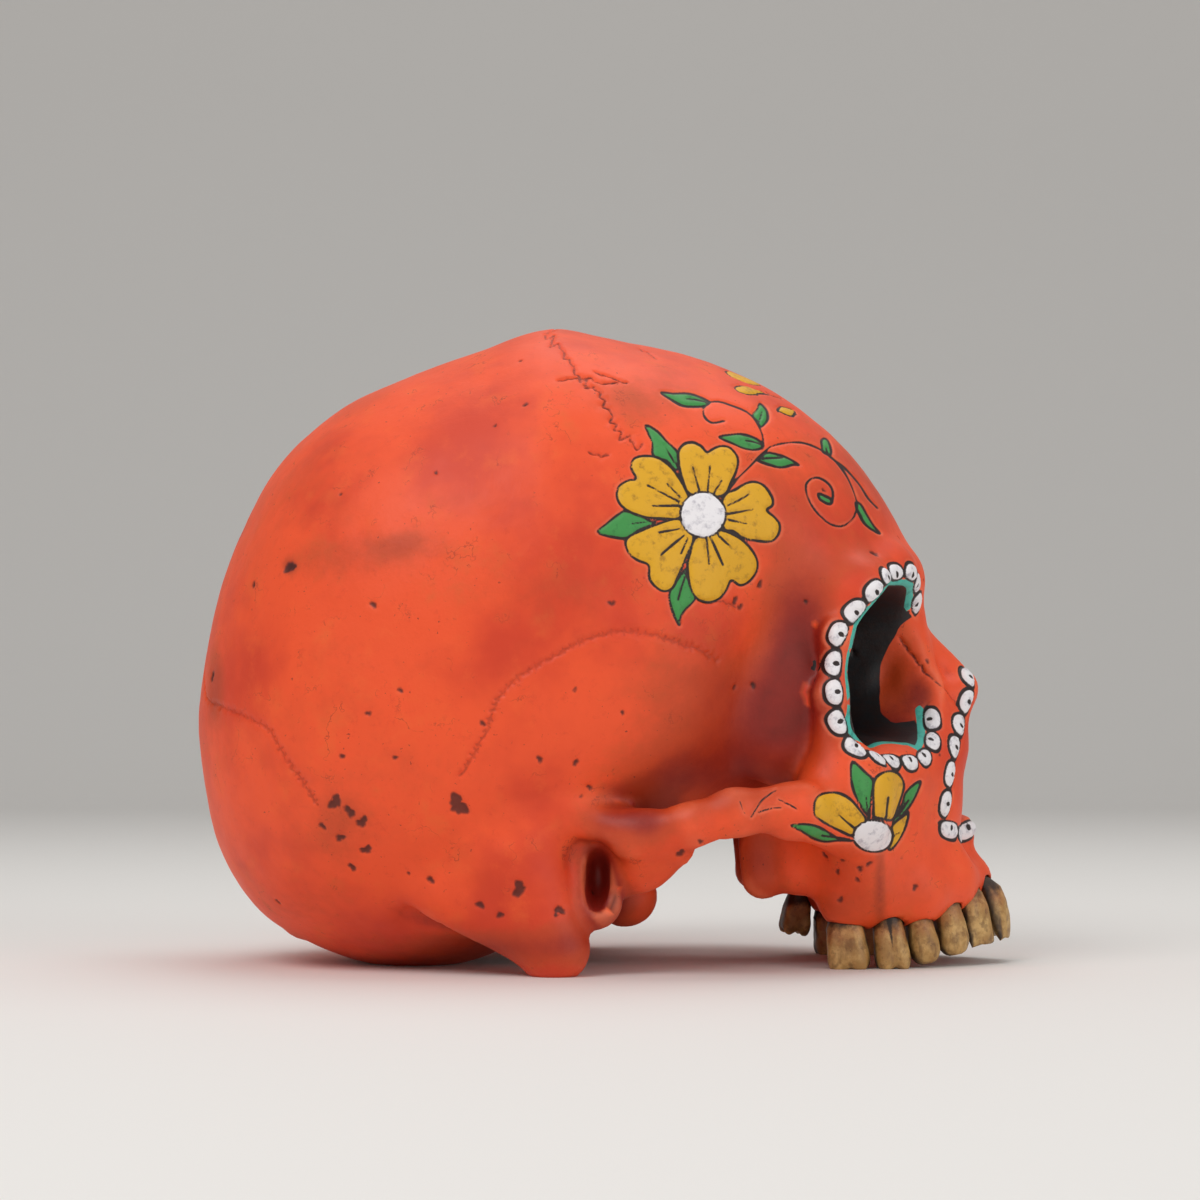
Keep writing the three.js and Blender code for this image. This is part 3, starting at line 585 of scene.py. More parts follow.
vine = [
    [(724.6, 495.8), (736.2, 480.4), (749.6, 466.9), (759.2, 456.3), (766.9, 449.6), (770.8, 446.3), (782.3, 442.9),
     (795.8, 441.5), (807.3, 442.9), (818.8, 447.3), (830.4, 455), (840, 464.6), (847.7, 476.2), (853.5, 489.6),
     (857.3, 501.2), (857.3, 508.8), (853.5, 518.5), (845.8, 524.6), (838, 525.8), (828.5, 522.3), (818.8, 513.7),
     (811.2, 503), (806.9, 491.5), (807.3, 482.9), (813, 478), (820.8, 478), (828.5, 482.9), (832.7, 489.6),
     (833.3, 497.3), (831.3, 503)],
    [(764, 445.8), (763, 436.2), (759.2, 426.5), (753.5, 417), (745.8, 410.2), (732.3, 404.4), (720.8, 400.6),
     (710.2, 401.5), (705.4, 406.3), (703.5, 412), (706.3, 418.8), (713, 422.7), (724.6, 420.4)],
    [(830.4, 456), (845.8, 467.5), (859.2, 482), (868.8, 497.3), (878.5, 507.9)],
]
drops = [  # loose petals on the crown
    [(726, 371), (734, 371.5), (746, 375), (761, 384), (752, 384), (740, 379.5), (731, 375.5)],
    [(735.2, 386.7), (743.8, 385.4), (753.5, 388.7), (765, 393), (759.2, 393.5), (749.6, 394.4), (740, 391.5)],
    [(777.5, 410.8), (780.4, 406.9), (787, 407.9), (794.8, 410.8), (792.9, 416), (786, 414.6), (779.4, 411.7)],
]
dropTails = [[(759.2, 393.5), (770, 395), (782.3, 398.8)]]
# The cheek's flower, which is painted from this far out of the middle plane, in millimetres
cheekFrom = 26.0
cheekFlower = {
    "petals": [
        [(815, 812.5), (816.3, 800), (823.8, 793), (837.5, 792.5), (850, 798.8), (860, 810), (866.3, 820),
         (861.3, 826.3), (853.8, 836.3), (840, 831.3), (826.3, 823.8), (817.5, 817.5)],
        [(873.8, 815), (873.8, 800), (873.8, 785), (877.5, 776.3), (887.5, 771.3), (897.5, 772.5), (904.3, 781.3),
         (904.3, 792.5), (898.8, 807.5), (892.5, 820), (882.5, 818.8), (875, 817.5)],
        [(892.5, 826.3), (902.5, 817.5), (909.5, 813), (906.3, 827.5), (900, 840), (892.5, 848.8), (888.8, 848.8),
         (892.5, 840), (893.8, 833.8)],
    ],
    "disc": (873.5, 836.5, 18.0),
    "strokes": [
        [(838.8, 815), (856.3, 830)], [(888, 797.5), (886.3, 817.5)], [(900, 832.5), (893.8, 836.3)],
        [(866.3, 797.5), (868, 815)], [(910, 800), (897.5, 817.5)], [(822.5, 836.3), (850, 840)],
    ],
    "leaves": [
        [(853, 761.3), (865, 771.3), (873.8, 781.3), (871.3, 797.5), (870, 816.3), (868.8, 817.5), (862.5, 807.5),
         (855, 793.8), (851.3, 777.5)],
        [(922, 781.3), (918.8, 792.5), (911.3, 806.3), (902.5, 816.3), (895, 822.5), (893.8, 821.3), (903.8, 803.8),
         (906.3, 795), (913.8, 786.3)],
        [(791.3, 826.3), (805, 825), (817.5, 827), (830, 833.8), (840, 840), (852.5, 841.3), (837.5, 841.3),
         (825, 842.5), (812.5, 838.8), (802.5, 832.5)],
    ],
}
archCracks = [
    [(776.3, 788.8), (762.5, 800), (751.3, 817.5)], [(778.8, 798.8), (797.5, 808.8)],
    [(758.8, 812.5), (770, 808.8), (781.3, 807.5)], [(740, 801.3), (745, 813.8)],
]
sutures = {
    "coronal": [(544, 334), (552, 342), (561, 350), (569, 362), (578, 374), (590, 384), (602, 396), (607, 408),
                (612, 420), (620, 432), (632, 442), (645, 447)],
    "squamosal": [(461, 774), (475, 752), (486, 732), (497, 701), (517, 679), (545, 662), (570, 648), (595, 637),
                  (620, 632), (645, 634), (672, 641), (700, 650), (722, 664)],
    "lambdoid": [(208, 700), (222, 708), (236, 713), (252, 720), (267, 728), (276, 742), (284, 757), (301, 780),
                 (317, 805)],
    "nasal": [(899.6, 638.9), (916.3, 661), (931, 677.8), (947.8, 690.7), (961.7, 709.3)],
}
wander = {  # step and swing in pixels, and the seed of the draws
    "coronal": (4.5, 4.0, 3), "nasal": (6, 0.7, 9), "squamosal": (6, 1.4, 5), "lambdoid": (6, 1.4, 7),
}
# In space: along the crown, and from its two ends out to the sutures of the side
middleSuture = [
    (-14, 0, 157), (-33, 0, 151), (-51, 0, 144), (-68, 0, 135), (-82, 0, 121), (-93, 0, 99), (-98, 0, 82),
]
crownSuture = [(-13.5, 0, 157), (-12, 12, 156)]
backSuture = [(-98, 0, 82), (-97.5, 9, 77)]
faintLines = [  # short scratches beside the sutures
    [(560, 380), (585, 378), (604, 384), (622, 380)], [(596, 372), (612, 378), (628, 383)],
    [(590, 452), (602, 455), (613, 452)], [(640, 348), (650, 352), (657, 358)],
    [(700, 600), (720, 601), (738, 607)],
]
wallOutline = [  # the socket's wall by the nose, which stays orange
    (905, 622), (896, 634), (889, 647), (882, 664), (879.5, 690), (881, 712), (889, 720), (900, 723), (912, 721),
    (932, 714), (945, 690), (940, 640), (922, 616),
]
pits = [  # middle in the side view, radius in millimetres
    (335, 802, 1.6), (350, 812, 1.2), (362, 822, 1.3), (340, 838, 1.0), (366, 850, 1.2), (352, 868, 0.9),
    (322, 826, 0.8), (519, 889, 1.6), (681, 853, 1.3), (458, 805, 2.2), (290, 567, 1.5), (612, 603, 0.7),
    (735, 600, 0.8), (740, 607, 0.7), (875, 553, 0.9), (824, 856, 0.8), (842, 861, 0.7), (837, 872, 0.7),
    (860, 869, 0.8), (869, 864, 0.7), (857, 880, 0.6), (840, 900, 0.7), (915, 887, 0.7), (480, 905, 0.9),
    (500, 915, 0.8), (213, 676, 1.1), (575, 690, 0.5), (400, 690, 0.6), (560, 910, 1.1), (430, 880, 0.8),
]
strayPits = {"count": 46, "least": 0.35, "most": 0.8, "seed": 21}
# The rim is found by angle on its crest, and by rows of pixels down the outer column as the side view has it
socketRim = {
    "crestAngles": (42, 138), "limbRows": [632, 650, 670, 690, 708], "limbFrom": 826.0, "limbTo": 868.0,
    "limbWidth": 38.0, "inset": 1.6, "scallopInset": 11.5,
    "corner": [(848, 727), (858, 739), (874, 745.5)], "lowerAngles": (-97, -78),
    "innerEnd": [(917, 748), (921.5, 739), (921.5, 724), (920, 710)],
    "lowerScallops": [
        (842, 725), (853, 742), (870, 753), (890, 758), (910, 759), (925, 753), (930.5, 737), (929, 719),
    ],
}
noseRing = [(971.5, 677), (969.5, 703), (962, 728), (956, 752), (951, 778), (947.5, 804)]
noseFloor = [(951, 827), (959.5, 832), (967, 827)]
noseMiddleShares = [0.85, 0, 0.33]
scallops = {
    "eyeCount": 18, "outer": 3.1, "inner": 1.35, "width": 0.47, "dot": 0.78, "dotShift": 0.15,
    "gap": 0.35, "fullWidth": 2.4, "squareness": 2.4,
}
rosette = {
    "at": [55.9, 0, 131.8], "petals": 6, "reach": 5.4, "long": 3.9, "wide": 2.5, "disc": 2.3, "line": 0.32,
}
# Millimetres of teal on each side of the rim's line. The line rules within its reach, and beyond it a place
# that is forward enough is in the socket or out of it. Within its turn the wall by the nose is orange.
socketPaint = {
    "outerLateral": 0.75, "outerMedial": 0.95, "innerLateral": 0.9, "innerMedial": 1.3, "reach": 9.0,
    "forward": 20.0, "column": 41.0, "wallAngle": 5.0, "wallTurn": 52.0, "shade": 4.5,
    "ragged": 0.5, "raggedSize": 3.0,
}
nosePaint = {"forward": 60.0, "halfBreadth": 20.0, "reach": 1.5, "inset": 1.6}
# In pixels, but for the last three, which are in millimetres
lineWidths = {
    "petal": 2.7, "stroke": 2.3, "leaf": 2.4, "vein": 1.6, "vine": 2.1, "scallop": 0.6, "suture": 0.42, "drop": 0.6,
}
# Dark stains, with painted shade under the arches, in the temple and along the foot: middle, spread across and
# down, strength
stainsAndShade = [
    (800, 640, 34, 80, 1.0), (775, 715, 55, 50, 0.85), (705, 775, 80, 34, 0.75), (622, 817, 45, 14, 0.6),
    (600, 878, 18, 38, 1.35), (612, 905, 26, 24, 0.7), (880, 885, 5, 42, 0.6), (342, 822, 34, 46, 0.3),
    (290, 567, 5, 6, 0.9), (640, 400, 60, 30, 0.3), (770, 480, 80, 60, 0.26), (500, 948, 120, 18, 0.6),
    (330, 560, 60, 26, 0.26), (880, 470, 40, 70, 0.24), (893, 690, 20, 46, 0.45), (570, 935, 24, 26, 0.35),
    (862, 560, 40, 22, 0.24), (540, 590, 110, 40, 0.2), (300, 905, 60, 24, 0.2), (760, 862, 26, 36, 0.55),
    (835, 905, 50, 22, 0.24), (216, 690, 10, 40, 0.5), (404, 545, 40, 16, 0.42), (470, 500, 90, 14, 0.16),
    (690, 690, 60, 60, 0.34), (646, 830, 30, 20, 0.5), (848, 800, 30, 20, 0.2),
]


def sidePixels(points):
    near = np.array(points, float)
    near[:, 1] = -np.abs(near[:, 1])
    seen = near - eye
    depth = seen @ ahead
    scale = sideView["focalPixels"] / depth
    u = sideView["middle"] + seen[:, 0] * scale
    v = sideView["middle"] - (seen @ upward) * scale
    return np.stack([u, v], 1), 1 / scale


def segmentDistance(at, starts, ends):
    best = np.full(len(at), np.inf)
    for start, step in zip(starts, ends - starts):
        q = at - start
        part = np.clip(q @ step / max(step @ step, 1e-9), 0, 1)
        best = np.minimum(best, lengthOf(q - part[:, None] * step))
    return best


far = 40.0


def nearOnly(at, points, margin, measure):
    low, high = points.min(0) - margin, points.max(0) + margin
    chosen = ((at >= low) & (at <= high)).all(1)
    result = np.full(len(at), far)
    if chosen.any():
        result[chosen] = measure(at[chosen])
    return result


# Distance to the edge of a closed outline, below zero inside it
def outlineDistance(at, outline, margin=12.0):
    ring = catmullRom(outline, 4)
    after = np.roll(ring, -1, axis=0)

    def measure(at):
        inside = np.zeros(len(at), bool)
        for (u0, v0), (u1, v1) in zip(ring, after):
            if v0 == v1:
                continue
            spans = (v0 > at[:, 1]) != (v1 > at[:, 1])
            inside ^= spans & (at[:, 0] < u0 + (at[:, 1] - v0) * (u1 - u0) / (v1 - v0))
        distance = segmentDistance(at, ring, after)
        return np.where(inside, -distance, distance)
    return nearOnly(at, ring, margin, measure)


def pathDistance(at, path, margin=5.0):
    return nearOnly(at, path, margin, lambda at: segmentDistance(at, path[:-1], path[1:]))


def lineDistance(at, line):
    return pathDistance(at, catmullRom(line, 4, closed=False), 12.0)


def least(distances, count):
    result = np.full(count, far)
    for distance in distances:
        result = np.minimum(result, distance)
    return result


# A curve through the points, and how far along it each of its places is
def measured(path, steps):
    path = catmullRom(path, steps, closed=False)
    return path, np.concatenate([[0], np.cumsum(lengthOf(np.diff(path, axis=0)))])


def placesAlong(stations, path, s):
    return np.stack([np.interp(stations, s, column) for column in path.T], 1)


# A wandering line: swings to both sides of the path, uneven in size and spacing
def zigzag(path, step, swing, seed):
    draw = np.random.default_rng(seed)
    path, s = measured(path, 12)
    stations = np.arange(0, s[-1], step)
    at = placesAlong(stations, path, s)
    ahead = np.gradient(at, axis=0)
    aside = np.stack([-ahead[:, 1], ahead[:, 0]], 1)
    aside /= lengthOf(aside)[:, None]
    sign = np.where(np.arange(len(at)) % 2, 1, -1)
    swings = swing * (0.35 + 0.65 * np.abs(np.sin(stations / step * 0.37 + seed)))
    offset = sign * swings * draw.uniform(0.2, 1.25, len(at)) + swings * draw.normal(0, 0.5, len(at))
    jitter = draw.uniform(-0.4, 0.4, len(at)) * step
    tangent = ahead / np.maximum(lengthOf(ahead), 1e-9)[:, None]
    return catmullRom(at + aside * offset[:, None] + tangent * jitter[:, None], 3, closed=False)


# Short ticks across a suture
def stitches(path, seed, step=7.0, reach=3.4):
    draw = np.random.default_rng(seed)
    path, s = measured(path, 10)
    stations = np.arange(step, s[-1], step)
    ticks = []
    for station in stations + draw.uniform(-1.5, 1.5, len(stations)):
        at, beyond = placesAlong([station, station + 2.0], path, s)
        run = (beyond - at) / max(np.linalg.norm(beyond - at), 1e-6)
        half = np.array([-run[1], run[0]]) * draw.uniform(0.5, 1.0) * reach + run * draw.uniform(-1.5, 1.5)
        ticks.append([at - half, at, at + half * draw.uniform(0.3, 1.0)])
    return ticks


def spread(path, count):
    path, s = measured(path, 10)
    at = placesAlong(np.linspace(0, s[-1], count), path, s)
    ahead = np.gradient(at, axis=0)
    return at, ahead / lengthOf(ahead)[:, None], s[-1] / (count - 1)


# A wandering line in space, on the outside of the skull
def zigzagOver(line):
    draw = np.random.default_rng(13)
    at, ahead, _ = spread(line, max(8, 9 * len(line)))
    aside = np.cross(ahead, [0, 0, 1.0])
    aside = np.where(lengthOf(aside)[:, None] > 0.3, aside, [0, 1.0, 0])
    sign = np.where(np.arange(len(at)) % 2, 1, -1) * draw.uniform(0.2, 1.1, len(at))
    return settle(catmullRom(at + aside * sign[:, None] * 1.1, 3, closed=False), outsideField, 2.0, 6)


# Places on the near side that a list of side-view pixels falls on, turned to the skull's left
def onSurface(pixels):
    found = []
    for u, v in pixels:
        right, down = ((at - sideView["middle"]) / sideView["focalPixels"] for at in (u, v))
        spot = outsideTree.ray_cast(Vector(eye), Vector(ahead + [right, 0, 0] - upward * down))[0]
        if spot is not None and spot.y < 0:
            found.append((spot.x, -spot.y, spot.z))
    return np.array(found)


# The closed shape that an outline makes on the surface, rounded off where its far end runs out of sight
def closedOnSurface(outline):
    path = onSurface(catmullRom(outline, 4))
    gaps = lengthOf(np.roll(path, -1, axis=0) - path)
    path = np.roll(path, -1 - int(np.argmax(gaps)), axis=0)
    middle = (path[0] + path[-1]) / 2
    away = middle - path.mean(0)
    end = middle + away / np.linalg.norm(away) * gaps.max() * 0.35
    return settle(np.concatenate([path, [end]]), outsideField, 2.0, 4)


# Distance to the edge of a small closed shape in space, in the plane that touches the surface at its middle
def flatDistance(points, path):
    middle = path.mean(0)
    normal = slopeOf(middle[None], 0.8)[0]
    side = np.cross(normal, [0, 0, 1.0])
    side /= np.linalg.norm(side)
    flat = np.stack([side, np.cross(normal, side)], 1)
    q = points - middle
    distance = outlineDistance(q @ flat, (path - middle) @ flat, margin=6.0)
    return np.where(np.abs(q @ normal) < 8, distance, far)


# The crest of a socket's rim, where its wall meets the outside, by angle round the socket's axis
def rimCrest(count=72):
    turn = np.linspace(-math.pi, math.pi, count, endpoint=False)
    power = orbitHalves["squareness"]
    size = (np.abs(np.cos(turn)) ** power + np.abs(np.sin(turn)) ** power) ** (1 / power)
    aside = np.outer(np.cos(turn) / size * orbitHalves["across"], orbitSide)
    aside += np.outer(np.sin(turn) / size * orbitHalves["up"], orbitUp)
    aside *= skull["height"]

    def wallAt(share):
        flared = np.sqrt(np.minimum(share, orbitHalves["flare"]))[:, None]
        return orbitApex + np.outer(share, orbitMouth - orbitApex) + aside * flared

    low, high = np.full(count, 0.3), np.full(count, 1.5)
    for _ in range(24):
        middle = (low + high) / 2
        buried = outsideFields(wallAt(middle))[1] < 0
        low, high = np.where(buried, middle, low), np.where(buried, high, middle)
    return turn, settle(wallAt(low), outsideField, 2.0, 4)


# The painted rim of a socket and the line its scallops stand on: from the nose over the brow, down the outer
# column as it is seen from the side, and back below to the nose
def socketPaths():
    turn, crest = rimCrest()
    degrees = np.degrees(turn)

    def crestWithin(low, high):
        return crest[(degrees >= low) & (degrees <= high)]

    def limb(inset):
        found = []
        for row in socketRim["limbRows"]:
            seen = [u for u in np.arange(socketRim["limbFrom"], socketRim["limbTo"], 0.5)
                    if any(spot[1] > socketRim["limbWidth"] for spot in onSurface([(u, row)]))]
            found.append((seen[-1] - inset, row))
        return onSurface(found)

    top = crestWithin(*socketRim["crestAngles"])
    lower = crestWithin(*socketRim["lowerAngles"])
    corner, innerEnd = onSurface(socketRim["corner"]), onSurface(socketRim["innerEnd"])
    rim = np.concatenate([top, limb(socketRim["inset"]), corner, lower, innerEnd])
    out = np.stack([orbitField(top + step) - orbitField(top - step) for step in np.eye(3) * 0.5], 1)
    normals = slopeOf(top, 0.8)
    out -= normals * (out * normals).sum(1)[:, None]
    out /= lengthOf(out)[:, None]
    offset = socketPaint["outerMedial"] + scallops["inner"] + scallops["gap"]
    overBrow = settle(top + out * offset, outsideField, 2.0, 6)
    row = np.concatenate([overBrow, limb(socketRim["scallopInset"]), onSurface(socketRim["lowerScallops"])])
    return settle(catmullRom(rim, 3, closed=False), outsideField, 2.0, 4), row


def scallopRow(path, count, middle):
    centres, along, pitch = spread(path, count)
    normals = slopeOf(centres, 0.5)
    aside = np.cross(along, normals)
    aside /= lengthOf(aside)[:, None]
    flip = ((centres - middle) * aside).sum(1) < 0
    aside[flip] *= -1
    return [(centre, run, away, pitch * scallops["width"]) for centre, run, away in zip(centres, along, aside)]


def slopeOf(points, probe):
    slope = [outsideField(points + step) - outsideField(points - step) for step in np.eye(3) * probe]
    slope = np.stack(slope, 1)
    return slope / np.maximum(lengthOf(slope), 1e-9)[:, None]


def scallopDistances(near):
    shape, ink = np.full(len(near), far), np.full(len(near), far)
    for centre, run, away, halfWidth in scallopRows:
        chosen = (np.abs(near - centre) < 5.5).all(1)
        if not chosen.any():
            continue
        q = near[chosen] - centre
        s, r = q @ run, q @ away
        past = np.maximum(lengthOf(q) - np.hypot(s, r) - 2.5, 0)
        small = min(1, halfWidth / scallops["fullWidth"])
        height = np.where(r > 0, scallops["outer"], scallops["inner"]) * small
        power = scallops["squareness"]
        size = (np.abs(s / halfWidth) ** power + np.abs(r / height) ** power) ** (1 / power)
        edge = (size - 1) * np.minimum(halfWidth, height) + past
        width = lineWidths["scallop"] * np.where(r > 0, 0.62, 0.42)
        dot = np.hypot(s / 0.75, r - scallops["dotShift"]) - scallops["dot"] * small + past
        shape[chosen] = np.minimum(shape[chosen], edge)
        ink[chosen] = np.minimum(ink[chosen], np.minimum(np.abs(edge) - width, dot))
    return shape, ink


# A rosette on the middle of the forehead: its petals and its disc, in the plane that touches the surface there
def rosetteShapes(points):
    centre = settle(np.array([rosette["at"]], float), outsideField, 2.0, 6)[0]
    outward = slopeOf(centre[None], 0.8)[0]
    down = np.array([outward[2], 0, -outward[0]])
    close = (np.abs(points - centre) < 16).all(1)
    across, along = np.abs(points[:, 1]), (points - centre) @ down
    petals = np.full(len(points), far)
    for number in range(rosette["petals"]):
        turn = 2 * math.pi * number / rosette["petals"]
        out = across * math.sin(turn) + along * math.cos(turn) - rosette["reach"]
        aside = across * math.cos(turn) - along * math.sin(turn)
        size = np.hypot(out / rosette["long"], aside / rosette["wide"])
        petals = np.minimum(petals, (size - 1) * rosette["wide"])
    disc = np.hypot(across, along) - rosette["disc"]
    return np.where(close, petals, far), np.where(close, disc, far)


def pitDistance(near):
    best = np.full(len(near), far)
    for centre, radius in pitPlaces:
        chosen = (np.abs(near - centre) < radius + 2.5).all(1)
        q = near[chosen] - centre
        turn = np.arctan2(q[:, 2], q[:, 0])
        ragged = 1 + 0.3 * np.sin(2 * turn + centre[0]) + 0.2 * np.sin(3 * turn + centre[2])
        ragged += 0.12 * np.sin(7 * turn)
        best[chosen] = np.minimum(best[chosen], lengthOf(q) - radius * ragged)
    return best


# Every painted shape's distance at a set of places, in millimetres, below zero inside the shape
def ornamentAt(points):
    at, scale = sidePixels(points)
    near = mirrored(points)
    count = len(points)
    onCheek = near[:, 1] > cheekFrom

    def outlines(side, cheek):
        shapes = [outlineDistance(at, outline) for outline in side]
        return shapes + [np.where(onCheek, outlineDistance(at, outline), far) for outline in cheek]

    def lines(side, cheek, width):
        drawn = [lineDistance(at, line) for line in side]
        drawn += [np.where(onCheek, lineDistance(at, line), far) for line in cheek]
        return least(drawn, count) - lineWidths[width] / 2

    def borders(shapes, width):
        return least([np.abs(shape) for shape in shapes], count) - lineWidths[width] / 2

    petals = outlines(flower["petals"], cheekFlower["petals"])
    leafShapes = outlines(leaves, cheekFlower["leaves"])
    yellow = least(petals, count)
    u, v, radius = flower["disc"]
    disc = np.hypot(at[:, 0] - u, at[:, 1] - v) - radius
    u, v, radius = cheekFlower["disc"]
    cheekDisc = np.hypot((at[:, 0] - u) * 0.9, (at[:, 1] - v) * 1.12) - radius
    white = least([disc, np.where(onCheek, cheekDisc, far)], count)

    under = [borders(leafShapes, "leaf"), lines(leafVeins, [], "vein"), lines(vine, [], "vine")]
    under = np.minimum.reduce([*under, lines([], archCracks, "vein")])
    ink = np.minimum(borders(petals, "petal"), np.where(yellow < 0, far, under))
    ink = np.minimum(ink, lines(flower["strokes"], cheekFlower["strokes"], "stroke"))
    ink = np.where(white < -lineWidths["petal"] / 2, far, ink)
    ink = np.minimum(ink, np.abs(white) - lineWidths["petal"] * 0.4)

    scallop, scallopInk = scallopDistances(near)
    rosettePetals, disc = rosetteShapes(points)
    lining = np.minimum(np.abs(rosettePetals), np.abs(disc)) - rosette["line"]
    lining = np.where(disc < -rosette["line"], far, lining)
    drop = least([flatDistance(near, path) for path in dropPaths], count)
    dropInk = np.minimum(np.abs(drop), least([pathDistance(near, path) for path in tailPaths], count))
    dropInk -= lineWidths["drop"] / 2
    seam = least([pathDistance(points, middlePath), *(pathDistance(near, path) for path in suturePaths)], count)
    stitch = least([pathDistance(near, path, 3.0) for path in stitchPaths], count)
    return {
        "yellow": np.minimum(yellow * scale, drop),
        "green": least(leafShapes, count) * scale,
        "white": np.minimum.reduce([white * scale, scallop, disc]),
        "ink": np.minimum.reduce([ink * scale, scallopInk, dropInk, lining]),
        "petalTeal": rosettePetals,
        "scallop": scallop,
        "pit": pitDistance(near),
        "seam": seam - lineWidths["suture"] / 2,
        "stitch": stitch - lineWidths["suture"] / 2,
    }


# Edge lengths in millimetres, and where the face and the jaw begin, which are fine even where they are plain
refinement = {
    "finest": 0.49, "fine": 1.5, "coarse": 2.9, "passes": 5, "beside": 0.35, "growth": 0.9,
    "faceFrom": 25, "jawFrom": -45, "jawBelow": 45,
}


# The edge length wished for: short beside a carved line, longer where the surface is plain
def wishAt(points):
    shapes = ornamentAt(points)
    groove = np.minimum(shapes["seam"], shapes["stitch"])
    closeness = np.minimum(np.abs(shapes["ink"] + 0.1), np.abs(groove + 0.2))
    closeness = np.minimum(closeness, np.maximum(shapes["pit"], 0) + 0.4)
    inJaw = (points[:, 0] > refinement["jawFrom"]) & (points[:, 2] < refinement["jawBelow"])
    detailed = (points[:, 0] > refinement["faceFrom"]) | inJaw
    longest = np.where(detailed, refinement["fine"], refinement["coarse"])
    wish = refinement["finest"] + refinement["growth"] * (closeness - refinement["beside"])
    return np.clip(wish, refinement["finest"], longest)


# Teeth: root end, neck and biting edge, then the crown's width along the jaw and depth, of the tooth size
teethRows = [
    ["central_incisor", "edge", [0.868, 0.06, 0.158], [0.936, 0.066, 0.114], [0.974, 0.076, 0.039], 0.96, 0.68],
    ["lateral_incisor", "edge", [0.838, 0.148, 0.157], [0.882, 0.171, 0.108], [0.912, 0.192, 0.032], 0.88, 0.6],
    ["canine", "point", [0.803, 0.236, 0.15], [0.818, 0.259, 0.094], [0.84, 0.282, 0.018], 0.84, 0.78],
    ["premolar", "point", [0.737, 0.311, 0.131], [0.747, 0.325, 0.076], [0.769, 0.342, 0.006], 0.76, 0.88],
    ["first_molar", "molar", [0.669, 0.351, 0.121], [0.673, 0.363, 0.065], [0.688, 0.374, -0.003], 0.9, 0.98],
    ["second_molar", "molar", [0.576, 0.371, 0.121], [0.571, 0.38, 0.062], [0.583, 0.386, -0.003], 1.1, 1],
]
thirdMolarRow = [
    "third_molar", "molar", [0.5, 0.375, 0.127], [0.486, 0.38, 0.08], [0.477, 0.386, 0.035], 0.8, 0.84,
]
jawCentreShares = [0.647, 0, 0]
jawOval = 0.45
toothRings = {
    "edge": [
        [-1, 0.3, 0.35], [-0.5, 0.5, 0.62], [0, 0.82, 0.86], [0.35, 0.94, 0.95], [0.75, 1, 0.66], [1, 0.93, 0.28],
    ],
    "point": [
        [-1, 0.3, 0.35], [-0.5, 0.54, 0.64], [0, 0.81, 0.83], [0.35, 0.93, 0.95], [0.72, 1, 0.88],
        [0.93, 0.72, 0.6], [1, 0.36, 0.36],
    ],
    "molar": [
        [-1, 0.42, 0.42], [-0.5, 0.66, 0.66], [0, 0.85, 0.84], [0.4, 0.95, 0.95], [0.75, 1, 1],
        [0.96, 0.86, 0.86], [1, 0.6, 0.6],
    ],
}
toothFinish = {
    "sides": 40, "ringsPerStation": 5, "groove": 0.06, "pit": 0.1, "cusp": 0.055, "chip": 0.03,
    "furrow": 0.07, "frontFurrow": 0.0245, "furrowWidth": 0.3, "forkTop": 0.62, "forkSpread": 0.3,
    "swell": 0.22, "swellSize": 2.6, "ripple": 0.08, "rippleSize": 1.1,
}


